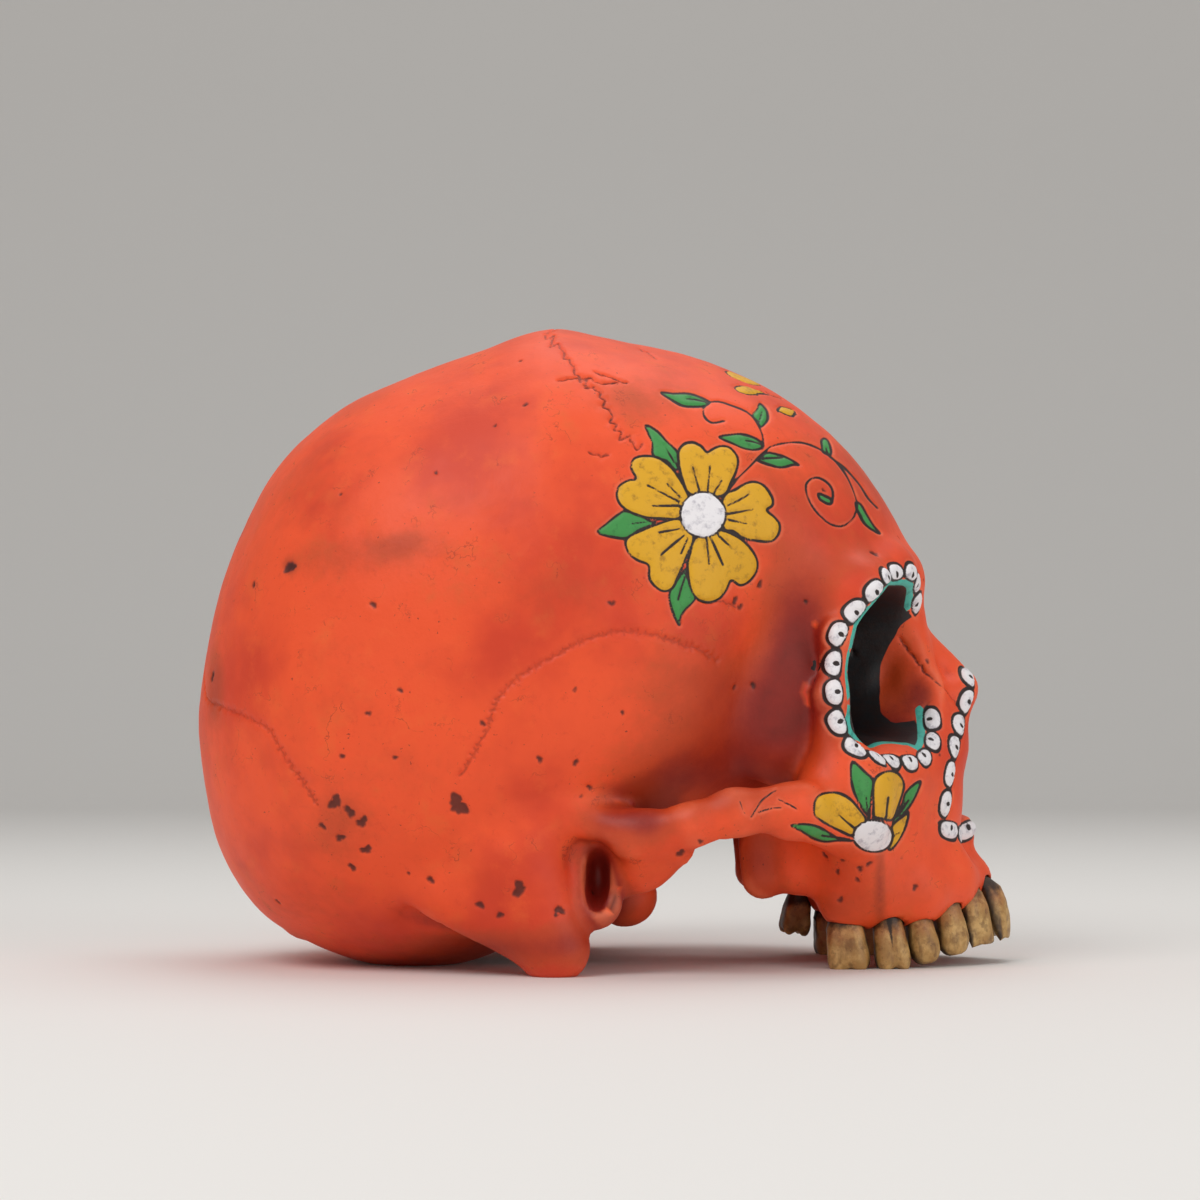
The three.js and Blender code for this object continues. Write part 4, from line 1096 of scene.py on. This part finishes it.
def toothMesh(row, side, grow, fine=False):
    _, kind, rootEnd, neck, biteShares, width, depth = row
    root, collar, bite = (place(shares) * np.array([1, side, 1]) for shares in (rootEnd, neck, biteShares))
    axis = (bite - collar) / np.linalg.norm(bite - collar)
    outward = collar - place(jawCentreShares)
    outward = np.array([outward[0] * jawOval, outward[1], 0])
    outward -= axis * (outward @ axis)
    outward /= np.linalg.norm(outward)
    along = np.cross(outward, axis)
    stations = catmullRom(toothRings[kind], toothFinish["ringsPerStation"], closed=False)
    stations[0], stations[-1] = toothRings[kind][0], toothRings[kind][-1]
    turn = np.linspace(0, 2 * math.pi, toothFinish["sides"], endpoint=False)
    rings = []
    size = skull["toothSize"]
    for station, widthShare, depthShare in stations:
        centre = collar + ((root if station < 0 else bite) - collar) * abs(station)
        if abs(station) == 1:
            centre = centre + axis * station * grow
        lobe = 1 - toothFinish["groove"] * np.cos(4 * turn) if kind == "molar" and station > 0 else 1 + 0 * turn
        low = smoothStep(0.55, 1.0, station)
        lift = 0 * turn
        if fine:
            fromFurrow = np.abs((turn - math.pi / 2 + math.pi) % (2 * math.pi) - math.pi)
            furrow = toothFinish["furrow" if kind == "molar" else "frontFurrow"]
            furrow *= smoothStep(-0.6, 0.5, station)
            lobe = lobe - furrow * np.exp(-(fromFurrow / toothFinish["furrowWidth"]) ** 2)
            if kind == "molar":
                lift = -low * toothFinish["cusp"] * size * np.cos(4 * turn)
            elif kind == "edge":
                lift = low * toothFinish["chip"] * size * np.cos(3 * turn + collar[0])
        halfWidth = widthShare * width * skull["length"] * skull["toothPitchShare"] / 2 + grow
        halfDepth = depthShare * depth * size / 2 + grow
        rings.append(
            centre + np.outer(np.cos(turn) * lobe * halfWidth, along)
            + np.outer(np.sin(turn) * lobe * halfDepth, outward) + np.outer(lift, axis)
        )
    pit = rings[-1].mean(0) - (axis * toothFinish["pit"] * size if kind == "molar" else 0)
    points = np.concatenate([*rings, [rings[0].mean(0)], [pit]])
    sides, count = toothFinish["sides"], len(rings)
    i = np.arange(sides)
    j = (i + 1) % sides
    last = (count - 1) * sides
    quads = np.concatenate([
        np.stack([r + i, r + j, r + sides + j, r + sides + i], 1) for r in range(0, last, sides)
    ])
    caps = [
        np.stack([np.full(sides, len(points) - 2), j, i], 1),
        np.stack([np.full(sides, len(points) - 1), last + i, last + j], 1),
    ]
    up = np.concatenate([np.repeat(stations[:, 0], sides), [-1, 1]])
    across = np.concatenate([np.tile(np.abs(np.cos(turn)), count), [0, 0]])
    return points, np.concatenate([trianglesOf(points, quads), *caps]), up, across


teeth = [(row, side) for side in (-1, 1) for row in teethRows] + [(thirdMolarRow, 1)]


def cutBy(obj, cutter):
    modifier = obj.modifiers.new("cut", "BOOLEAN")
    modifier.operation = "DIFFERENCE"
    modifier.solver = "MANIFOLD"
    modifier.object = cutter
    baked = bpy.data.meshes.new_from_object(obj.evaluated_get(bpy.context.evaluated_depsgraph_get()))
    obj.modifiers.clear()
    obj.data = baked
    bpy.data.objects.remove(cutter)


def tableBlock():
    size = skull["length"]
    deep = skull["height"] / 10
    corners = [[x, y, z] for x in (-size, size) for y in (-size, size) for z in (-deep, 0)]
    quads = [[0, 1, 3, 2], [4, 6, 7, 5], [0, 4, 5, 1], [2, 3, 7, 6], [0, 2, 6, 4], [1, 5, 7, 3]]
    return meshObject("table", corners, quads)


def foramenShaft():
    centre = place(foramenCentreShares)
    sides = 48
    turn = np.linspace(0, 2 * math.pi, sides, endpoint=False)
    ring = np.stack([np.cos(turn) * skull["foramenLength"] / 2, np.sin(turn) * skull["foramenBreadth"] / 2], 1)
    reach = foramenReachShare * skull["height"] / 2
    points = [[*(centre[:2] + p), centre[2] + dz] for dz in (-reach, reach) for p in ring]
    faces = [[i, (i + 1) % sides, sides + (i + 1) % sides, sides + i] for i in range(sides)]
    faces += [list(range(sides))[::-1], [sides + i for i in range(sides)]]
    return meshObject("foramen", points, faces)


points, triangles = surfaceOf(outsideField, skull["outsideCell"])
points = relax(points, triangles, outsideField, skull["outsideCell"])
print("outside surface", len(triangles))

outsideTree = BVHTree.FromPolygons(points.tolist(), triangles.tolist())
rim, scallopPath = socketPaths()
scallopRows = scallopRow(scallopPath, scallops["eyeCount"], place(orbitMouthShares))
for row in (noseRing, noseFloor):
    scallopRows += scallopRow(onSurface(row), len(row), place(noseMiddleShares))
dropPaths = [closedOnSurface(drop) for drop in drops]
tailPaths = [onSurface(catmullRom(tail, 4, closed=False)) for tail in dropTails]
coronal, nasal = (onSurface(zigzag(sutures[name], *wander[name])) for name in ("coronal", "nasal"))
faint = [onSurface(zigzag(line, 4, 0.9, 11 + number)) for number, line in enumerate(faintLines)]
crown = zigzagOver([*crownSuture, coronal[0]])
suturePaths = [path for path in (coronal, crown, nasal, *faint) if len(path) > 1]
stitchPaths = []
for name in ("squamosal", "lambdoid"):
    stitchPaths.append(onSurface(zigzag(sutures[name], *wander[name])))
    sideEnd = stitchPaths[-1][0]
    stitchPaths += [onSurface(stitch) for stitch in stitches(sutures[name], wander[name][2])]
stitchPaths = [path for path in [*stitchPaths, zigzagOver([*backSuture, sideEnd])] if len(path) > 1]
middlePath = zigzagOver(middleSuture)
pitDraw = np.random.default_rng(strayPits["seed"])
strays = points[pitDraw.integers(0, len(points), strayPits["count"])]
pitPlaces = [(spot, radius) for u, v, radius in pits for spot in onSurface([(u, v)])]
pitPlaces += list(zip(mirrored(strays), pitDraw.uniform(strayPits["least"], strayPits["most"], len(strays))))
print("ornament placed")

points, triangles = refine(points, triangles, wishAt, outsideField, refinement["passes"])
print("refined", len(triangles))
cranium = meshObject("cranium_shell", points, triangles)
cutBy(cranium, meshObject("hollow", *surfaceOf(hollowField, skull["hollowCell"])))
cutBy(cranium, foramenShaft())
for row, side in teeth:
    cutBy(cranium, meshObject("socket", *toothMesh(row, side, skull["toothClearance"])[:2]))
cutBy(cranium, tableBlock())
print("cranium cut", len(cranium.data.polygons))


# Relief and paint of the casting: numbers kept at each point of its mesh
relief = {
    "ink": 0.3, "scallop": 0.45, "petal": 0.12, "groove": 0.55, "pit": 0.5,
    "swell": 0.4, "swellSize": 17.0, "ripple": 0.12, "rippleSize": 5.0, "inkWander": 0.14, "inkWanderSize": 4.0,
    "skin": 0.2, "bulgeProbe": 3.0, "openProbe": 9.0,
}


def noiseAt(points, size):
    return np.array([noise.noise(Vector(p)) for p in (points / size).tolist()])


def unevenAt(points, table):
    return sum(table[name] * noiseAt(points, table[name + "Size"]) for name in ("swell", "ripple"))


def nearestPlace(at, path, margin):
    low, high = path.min(0) - margin, path.max(0) + margin
    chosen = ((at >= low) & (at <= high)).all(1)
    q = at[chosen]
    distance, nearest = np.full(len(q), np.inf), np.zeros_like(q)
    for start, step in zip(path[:-1], np.diff(path, axis=0)):
        part = np.clip((q - start) @ step / max(step @ step, 1e-9), 0, 1)
        spot = start + part[:, None] * step
        here = lengthOf(q - spot)
        closer = here < distance
        distance[closer], nearest[closer] = here[closer], spot[closer]
    allDistance, allNearest = np.full(len(at), far), at.copy()
    allDistance[chosen], allNearest[chosen] = distance, nearest
    return allDistance, allNearest


# Teal on the rim, black inside it but for the inner wall by the nose, and how deep a place lies in the socket,
# which the paint darkens as painted shade
def socketShapes(points, normals):
    near = mirrored(points)
    _, nosed, orbit, bone = outsideFields(points)
    along, a, b, _ = orbitParts(near)
    angle = np.degrees(np.arctan2(b, a))
    reach = socketPaint["reach"]
    close, nearest = nearestPlace(near, rim, reach)
    radial = nearest - orbitApex
    radial -= np.outer(radial @ orbitAxis, orbitAxis)
    outward = radial / np.maximum(lengthOf(radial), 1e-6)[:, None] + 0.5 * orbitAxis
    behind = (near[:, 1] > socketPaint["column"]) & (normals[:, 0] < 0.1)
    behind &= normals[:, 1] * np.sign(points[:, 1]) > -0.1
    depth = close * np.where((((near - nearest) * outward).sum(1) < 0) & ~behind, -1, 1)
    forward = near[:, 0] > socketPaint["forward"]
    buried = (along > 2) & (orbit < 1.0) & forward
    depth = np.where(close < reach, depth, np.where(buried, -reach, reach))
    medial = smoothStep(100, 40, np.abs(angle - 20))
    outer, inner = (
        socketPaint[side + "Lateral"] * (1 - medial) + socketPaint[side + "Medial"] * medial
        for side in ("outer", "inner")
    )
    teal = np.maximum(depth - outer, -inner - depth)
    at, scale = sidePixels(points)
    wall = (np.abs(angle - socketPaint["wallAngle"]) - socketPaint["wallTurn"]) * 0.3
    wall = np.maximum(outlineDistance(at, wallOutline) * scale, wall)
    ragged = socketPaint["ragged"] * noiseAt(near, socketPaint["raggedSize"])
    black = np.maximum(depth + inner - 0.15, ragged - wall)
    # Darker deeper in the socket: painted shade
    inside = smoothStep(0.0, -socketPaint["shade"], nosed) * forward
    noseCut = np.minimum.reduce([field(near) for field, _, _ in noseCuts])
    inNose = (near[:, 0] > nosePaint["forward"]) & (near[:, 1] < nosePaint["halfBreadth"])
    inNose &= noseCut < nosePaint["reach"]
    return teal, np.minimum(black, np.where(inNose, bone + noseCut + nosePaint["inset"], far)), inside


def stainAndShadeAt(points):
    at, _ = sidePixels(points)
    total = np.zeros(len(points))
    for u, v, spreadU, spreadV, strength in stainsAndShade:
        total += strength * np.exp(-((at[:, 0] - u) / spreadU) ** 2 - ((at[:, 1] - v) / spreadV) ** 2)
    return np.clip(total, 0, 1)


def keep(obj, name, values):
    obj.data.attributes.new(name, "FLOAT", "POINT").data.foreach_set("value", values.astype(np.float32))


def paintCasting(obj):
    points = pointsOf(obj)
    outside = outsideField(points)
    skin = np.abs(outside) < relief["skin"]
    normals = slopeOf(points, 0.6)
    shapes = ornamentAt(points)
    facing = normals[:, 1] * np.sign(points[:, 1]) > 0.03
    for name in ("yellow", "green"):
        shapes[name] = np.where(facing & skin, shapes[name], far)
    for name in ("white", "ink", "scallop", "seam", "stitch", "petalTeal"):
        shapes[name] = np.where(skin, shapes[name], far)
    teal, black, inside = socketShapes(points, normals)
    teal = np.minimum(teal, np.where(shapes["white"] < 0, far, shapes["petalTeal"]))
    shapes["ink"] += relief["inkWander"] * noiseAt(points, relief["inkWanderSize"]) * skin
    probe = relief["bulgeProbe"]
    total = sum(outsideField(points + offset * probe) for offset in np.concatenate([np.eye(3), -np.eye(3)]))
    bulge = (total - 6 * outside) / probe ** 2
    openness = np.clip(outsideField(points + normals * relief["openProbe"]) / relief["openProbe"], 0, 1)

    lift = unevenAt(points, relief)
    lift -= relief["ink"] * smoothStep(0.28, -0.05, shapes["ink"])
    lift += relief["scallop"] * np.sqrt(np.clip(-shapes["scallop"] / 1.6, 0, 1))
    lift += relief["petal"] * smoothStep(0.2, -1.2, np.minimum(shapes["yellow"], shapes["green"]))
    lift -= relief["groove"] * smoothStep(0.4, -0.15, np.minimum(shapes["seam"], shapes["stitch"]))
    lift -= relief["pit"] * smoothStep(0.35, -0.7, shapes["pit"])
    lift *= smoothStep(0.3, 1.5, points[:, 2]) * skin
    moved = points + normals * lift[:, None]
    moved[:, 2] = np.where(points[:, 2] > 0.01, np.maximum(moved[:, 2], 0.02), points[:, 2])
    obj.data.vertices.foreach_set("co", inMetres(moved).astype(np.float32).ravel())
    obj.data.update()
    shapes.update(teal=teal, black=black)
    for name in ("yellow", "green", "white", "ink", "seam", "stitch", "pit", "teal", "black"):
        keep(obj, name, np.clip(shapes[name], -5, 5))
    keep(obj, "socket", inside)
    # Dark stains, and painted shade under the arches, in the temple and along the foot
    keep(obj, "stainAndShade", stainAndShadeAt(points) * skin)
    # Near black on every face off the outer skin, inside the casting, in the tooth sockets and on its flat cut
    # foot: painted shade
    keep(obj, "hollow", np.where(skin, 0.0, smoothStep(0.2, 1.0, -outside)))
    # How far the surface bulges out, for the rubbed paint and painted highlight on what stands proud
    keep(obj, "bulge", np.clip(bulge, -1, 1))
    # Darker in the hollows: a dark red wash and painted shade
    keep(obj, "recessWashAndShade", 1 - openness)


paintCasting(cranium)
print("casting painted")


def addNode(tree, kind, inputs=None, **settings):
    node = tree.nodes.new("ShaderNode" + kind)
    for name, value in settings.items():
        setattr(node, name, value)
    for name, value in (inputs or {}).items():
        socket = node.inputs[name]
        if isinstance(value, bpy.types.NodeSocket):
            tree.links.new(value, socket)
        else:
            socket.default_value = value
    return node


# A paint's material, with its grains by size in millimetres, detail and roughness, and with what the mesh
# keeps at its points, each broken up by so much of a grain
def startPaint(name, grains, kept):
    material = bpy.data.materials.new(name)
    material.use_nodes = True
    tree, values = material.node_tree, {}
    where = addNode(tree, "TexCoord").outputs["Object"]
    for grain, (size, detail, roughness) in grains.items():
        scale = 1 / (size * metresPerMillimetre)
        inputs = {"Vector": where, "Scale": scale, "Detail": detail, "Roughness": roughness}
        values[grain] = addNode(tree, "TexNoise", inputs).outputs["Fac"]
    for attribute, (grain, amount) in kept.items():
        read = addNode(tree, "Attribute", attribute_name=attribute).outputs["Fac"]
        inputs = {0: values.get(grain, 0.0), 1: amount, 2: read}
        values[attribute] = addNode(tree, "Math", inputs, operation="MULTIPLY_ADD").outputs[0]
    return material, tree, values


# A coat of paint over the last, as strong as its masks let it be. A mask is a value, and where it hides the
# coat and where it lets it show in full.
def coat(tree, under, paint, strength, *masks):
    for value, none, full in masks:
        inputs = {"Value": value, "From Min": none, "From Max": full, "To Max": strength}
        strength = addNode(tree, "MapRange", inputs, interpolation_type="SMOOTHSTEP").outputs["Result"]
    mix = {0: strength, 6: under, 7: paint}  # factor and the two colours
    return addNode(tree, "Mix", mix, data_type="RGBA").outputs[2]


def finishPaint(tree, colour, roughness, height, strength):
    shader = tree.nodes["Principled BSDF"]
    inputs = {"Height": height, "Strength": strength, "Distance": 0.4 * metresPerMillimetre}
    bump = addNode(tree, "Bump", inputs)
    tree.links.new(colour, shader.inputs["Base Color"])
    tree.links.new(bump.outputs["Normal"], shader.inputs["Normal"])
    shader.inputs["IOR"].default_value = 1.5
    if isinstance(roughness, bpy.types.NodeSocket):
        tree.links.new(roughness, shader.inputs["Roughness"])
    else:
        shader.inputs["Roughness"].default_value = roughness


paints = {
    "orange": "#F4521E", "deepOrange": "#D63A12", "warmOrange": "#FA6E2A", "umber": "#B23F12",
    "darkRed": "#8C1408", "blackRed": "#300A04", "rubbedHighlight": "#FF8358",
    "yellow": "#E0A610", "deepYellow": "#A5740C", "green": "#3A9144", "deepGreen": "#1D5F2A",
    "white": "#EFEBED", "greyWhite": "#B4AFB8", "teal": "#45B5A4", "deepTeal": "#278A7E",
    "black": "#161417", "ink": "#200D0A",
}
resinGrains = {
    "cloudy": (38, 4, 0.55), "mottled": (9, 5, 0.65), "fine": (1.6, 4, 0.7), "clouds": (45, 5, 0.65),
    "brush": (3.2, 5, 0.8), "crackle": (16, 5, 0.6), "speck": (1.1, 2, 0.55), "streaks": (2.4, 6, 0.7),
}
resinKept = {
    "recessWashAndShade": ("mottled", 0.5), "stainAndShade": ("mottled", 0.5), "bulge": ("fine", 0.12), "stitch": ("fine", 0.9),
    "seam": ("fine", 0.9), "socket": ("mottled", 0.9), "black": ("mottled", 0.3), "teal": ("mottled", 0.3),
    **{name: ("", 0.0) for name in ("ink", "pit", "hollow", "green", "yellow", "white")},
}


# Painted resin: orange, with a dark red wash that stays in the hollows and painted shade there too, and rubbed pale
# on what stands proud, partly as painted highlight
def paintedResin():
    material, tree, at = startPaint("painted resin", resinGrains, resinKept)
    colour = rgb(paints["deepOrange"])
    for paint, strength, *masks in (
        ("orange", 1.0, ("cloudy", 0.32, 0.58)),
        ("warmOrange", 0.5, ("mottled", 0.5, 0.8)),
        ("umber", 0.32, ("clouds", 0.52, 0.72)),
        ("deepOrange", 0.45, ("brush", 0.54, 0.74)),
        ("darkRed", 0.55, ("crackle", 0.493, 0.499), ("crackle", 0.507, 0.501), ("mottled", 0.5, 0.66)),
        # Dark red in the recesses: a wash and painted shade
        ("darkRed", 0.85, ("recessWashAndShade", 0.55, 1.1)),
        # Stains, with painted shade under the arches, in the temple and along the foot
        ("umber", 0.6, ("stainAndShade", 0.3, 0.65)),
        ("darkRed", 0.88, ("stainAndShade", 0.55, 1.2)),
        ("blackRed", 0.55, ("stainAndShade", 1.05, 1.55)),
        # Pale on bulges and beside the ink lines: rubbed paint and painted highlight
        ("rubbedHighlight", 0.55, ("bulge", 0.22, 0.6)),
        ("rubbedHighlight", 0.3, ("ink", 0.75, 0.15), ("mottled", 0.35, 0.6)),
        ("blackRed", 0.7, ("speck", 0.7, 0.78), ("cloudy", 0.4, 0.6)),
    ):
        masks = [(at[name], none, full) for name, none, full in masks]
        colour = coat(tree, colour, rgb(paints[paint]), strength, *masks)
    for name, strength in (("stitch", 0.42), ("seam", 0.95)):  # dark lines that fade in and out
        fading = {"Value": at["cloudy"], "From Min": 0.42, "From Max": 0.62, "To Min": strength * 0.45}
        faded = addNode(tree, "MapRange", {**fading, "To Max": strength}).outputs["Result"]
        colour = coat(tree, colour, rgb(paints["blackRed"]), faded, (at[name], 0.7, 0.25))
    colour = coat(tree, colour, rgb(paints["blackRed"]), 0.85, (at["pit"], 0.4, -0.4))
    # Darker red deeper in the sockets: painted shade
    colour = coat(tree, colour, rgb(paints["darkRed"]), 0.85, (at["socket"], 0.5, 1.45))
    # Near black on the faces inside the casting and on its cut foot: painted shade
    colour = coat(tree, colour, rgb(paints["blackRed"]), at["hollow"])
    for name, deep, worn, edge in (  # brushed ornament, its deeper paint showing in streaks
        ("green", "deepGreen", 0.53, 0.1), ("yellow", "deepYellow", 0.5, 0.1), ("white", "greyWhite", 0.48, 0.1),
        ("black", "ink", 0.38, 0.25), ("teal", "deepTeal", 0.48, 0.25),
    ):
        tint = coat(tree, rgb(paints[name]), rgb(paints[deep]), 1.0, (at["streaks"], worn, worn + 0.24))
        colour = coat(tree, colour, tint, 1.0, (at[name], edge, edge - 0.2))
    colour = coat(tree, colour, rgb(paints["ink"]), 1.0, (at["ink"], 0.1, -0.1))
    uneven = {"Value": at["mottled"], "To Min": 0.42, "To Max": 0.62}
    roughness = addNode(tree, "MapRange", uneven).outputs["Result"]
    height = addNode(tree, "Math", {0: at["mottled"], 1: 0.5}, operation="MULTIPLY").outputs[0]
    height = addNode(tree, "Math", {0: at["fine"], 1: 0.6, 2: height}, operation="MULTIPLY_ADD").outputs[0]
    finishPaint(tree, colour, roughness, height, 0.35)
    return material


cranium.data.materials.clear()
cranium.data.materials.append(paintedResin())

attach(cranium, "root")
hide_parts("cranium")
cranium.data.polygons.foreach_set("use_smooth", [True] * len(cranium.data.polygons))

toothColours = {
    "ivory": "#D0A868", "ochre": "#AC8248", "brown": "#6A4523", "washAndShade": "#24150C", "blush": "#B5623C",
}
toothGrains = {"mottled": (3.5, 5, 0.65), "fine": (0.8, 4, 0.7), "blotch": (2.2, 3, 0.55)}
toothKept = {"station": ("mottled", 0.7), "fork": ("fine", 0.2), "across": ("", 0.0)}
toothStreaks = (560.0, 560.0, 230.0)  # to the metre, so that they run down the tooth


# Tooth paint: ochre over ivory, with a dark wash and painted shade at the necks, between the teeth and in the
# furrows
def toothPaint():
    material, tree, at = startPaint("painted tooth", toothGrains, toothKept)
    where = addNode(tree, "TexCoord").outputs["Object"]
    stretched = addNode(tree, "Mapping", {"Vector": where, "Scale": toothStreaks}).outputs["Vector"]
    streaks = addNode(tree, "TexNoise", {"Vector": stretched, "Scale": 1.0, "Detail": 5.0}).outputs["Fac"]
    inputs = {0: streaks, 1: 0.3, 2: at["across"]}
    at["between"] = addNode(tree, "Math", inputs, operation="MULTIPLY_ADD").outputs[0]
    at["streaks"] = streaks
    colour = rgb(toothColours["ochre"])
    # The dark coats carry a wash and painted shade at the necks, between the teeth and in the first molar's fork
    for paint, strength, name, none, full in (
        ("ivory", 1.0, "mottled", 0.4, 0.7), ("brown", 0.6, "streaks", 0.5, 0.72),
        ("brown", 0.5, "blotch", 0.52, 0.66), ("blush", 0.3, "station", 0.8, 0.45),
        ("washAndShade", 0.95, "station", 0.5, 0.18), ("washAndShade", 0.95, "between", 0.95, 1.18),
        ("washAndShade", 0.95, "fork", 0.12, 0.0), ("washAndShade", 0.6, "fine", 0.62, 0.72),
    ):
        colour = coat(tree, colour, rgb(toothColours[paint]), strength, (at[name], none, full))
    height = addNode(tree, "Math", {0: at["fine"], 1: 0.5, 2: streaks}, operation="MULTIPLY_ADD").outputs[0]
    finishPaint(tree, colour, 0.45, height, 0.4)
    return material


toothMaterial = toothPaint()
for row, side in teeth:
    node = f"{row[0]}_{'left' if side > 0 else 'right'}"
    crown, faces, station, across = toothMesh(row, side, 0, fine=True)
    crown[:, 2] = np.maximum(crown[:, 2], 0)
    fromMiddle = crown - crown.mean(0)
    uneven = unevenAt(crown, toothFinish)
    crown[:, :2] += fromMiddle[:, :2] / lengthOf(fromMiddle)[:, None] * uneven[:, None]
    tooth = meshObject(node + "_crown", crown, faces)
    keep(tooth, "station", station)
    keep(tooth, "across", across)
    turn = np.linspace(0, 2 * math.pi, toothFinish["sides"], endpoint=False)
    outer = np.append(np.tile(np.sin(turn) > 0, (len(station) - 2) // len(turn)), [False, False])
    forked = outer & (row[0] == "first_molar")
    fork = across - toothFinish["forkSpread"] * (toothFinish["forkTop"] - station)
    keep(tooth, "fork", np.where(forked, fork, 1.0))
    tooth.data.polygons.foreach_set("use_smooth", [True] * len(tooth.data.polygons))
    tooth.data.materials.append(toothMaterial)
    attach(tooth, "root")
    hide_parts(node)
print("teeth made")


# Stage: a pale floor that curves up into the backdrop, soft lamps and the camera, in metres
stage = {
    "floorColour": "#E9E6E2", "worldColour": "#FFFFFF", "worldStrength": 0.42,
    "floorReach": 6.0, "backdropAt": 2.2, "backdropTop": 2.0, "curve": 0.8, "curveSteps": 32,
}
lampAim = (0, 0, 0.08)
lamps = {  # place, width and watts
    "key lamp": ((-0.55, -0.8, 1.0), 0.7, 6.5),
    "fill lamp": ((0.9, -0.8, 0.5), 0.8, 3.4),
    "top lamp": ((0.1, 0.3, 1.1), 0.9, 4),
}


def paleFloor():
    size, back, radius = stage["floorReach"], stage["backdropAt"], stage["curve"]
    profile = [[-size, 0.0], [back - radius, 0.0]]
    for step in range(1, stage["curveSteps"] + 1):
        turn = step / stage["curveSteps"] * math.pi / 2
        profile.append([back - radius + radius * math.sin(turn), radius - radius * math.cos(turn)])
    profile.append([back, stage["backdropTop"]])
    count = len(profile)
    mesh = bpy.data.meshes.new("floor")
    mesh.from_pydata(
        [[x, y, z] for x in (-size, size) for y, z in profile], [],
        [[i, i + 1, count + i + 1, count + i][::-1] for i in range(count - 1)],
    )
    mesh.polygons.foreach_set("use_smooth", [True] * len(mesh.polygons))
    mesh.update()
    paint = bpy.data.materials.new("pale floor")  # matt and nearly white, so that only soft shadows show
    paint.use_nodes = True
    shader = paint.node_tree.nodes["Principled BSDF"]
    shader.inputs["Base Color"].default_value = rgb(stage["floorColour"])
    shader.inputs["Roughness"].default_value = 0.8
    mesh.materials.append(paint)
    addObject("floor", mesh)


paleFloor()

for name, (at, size, watts) in lamps.items():
    light = bpy.data.lights.new(name, "AREA")
    light.shape = "SQUARE"
    light.size = size
    light.energy = watts
    lamp = addObject(name, light)
    lamp.location = at
    lamp.rotation_euler = (Vector(lampAim) - Vector(at)).to_track_quat("-Z", "Y").to_euler()

world = bpy.data.worlds.new("studio")
world.use_nodes = True
background = world.node_tree.nodes["Background"]
background.inputs["Color"].default_value = rgb(stage["worldColour"])
background.inputs["Strength"].default_value = stage["worldStrength"]
bpy.context.scene.world = world
bpy.context.scene.view_settings.view_transform = "Standard"

cameraData = bpy.data.cameras.new("camera")
cameraData.sensor_width = 36.0
cameraData.lens = cameraData.sensor_width * sideView["focalPixels"] / (2 * sideView["middle"])
camera = addObject("camera", cameraData)
camera.location = inMetres(eye)
camera.rotation_euler = (math.pi / 2 + tilt, 0, 0)
bpy.context.scene.camera = camera
print("stage set")
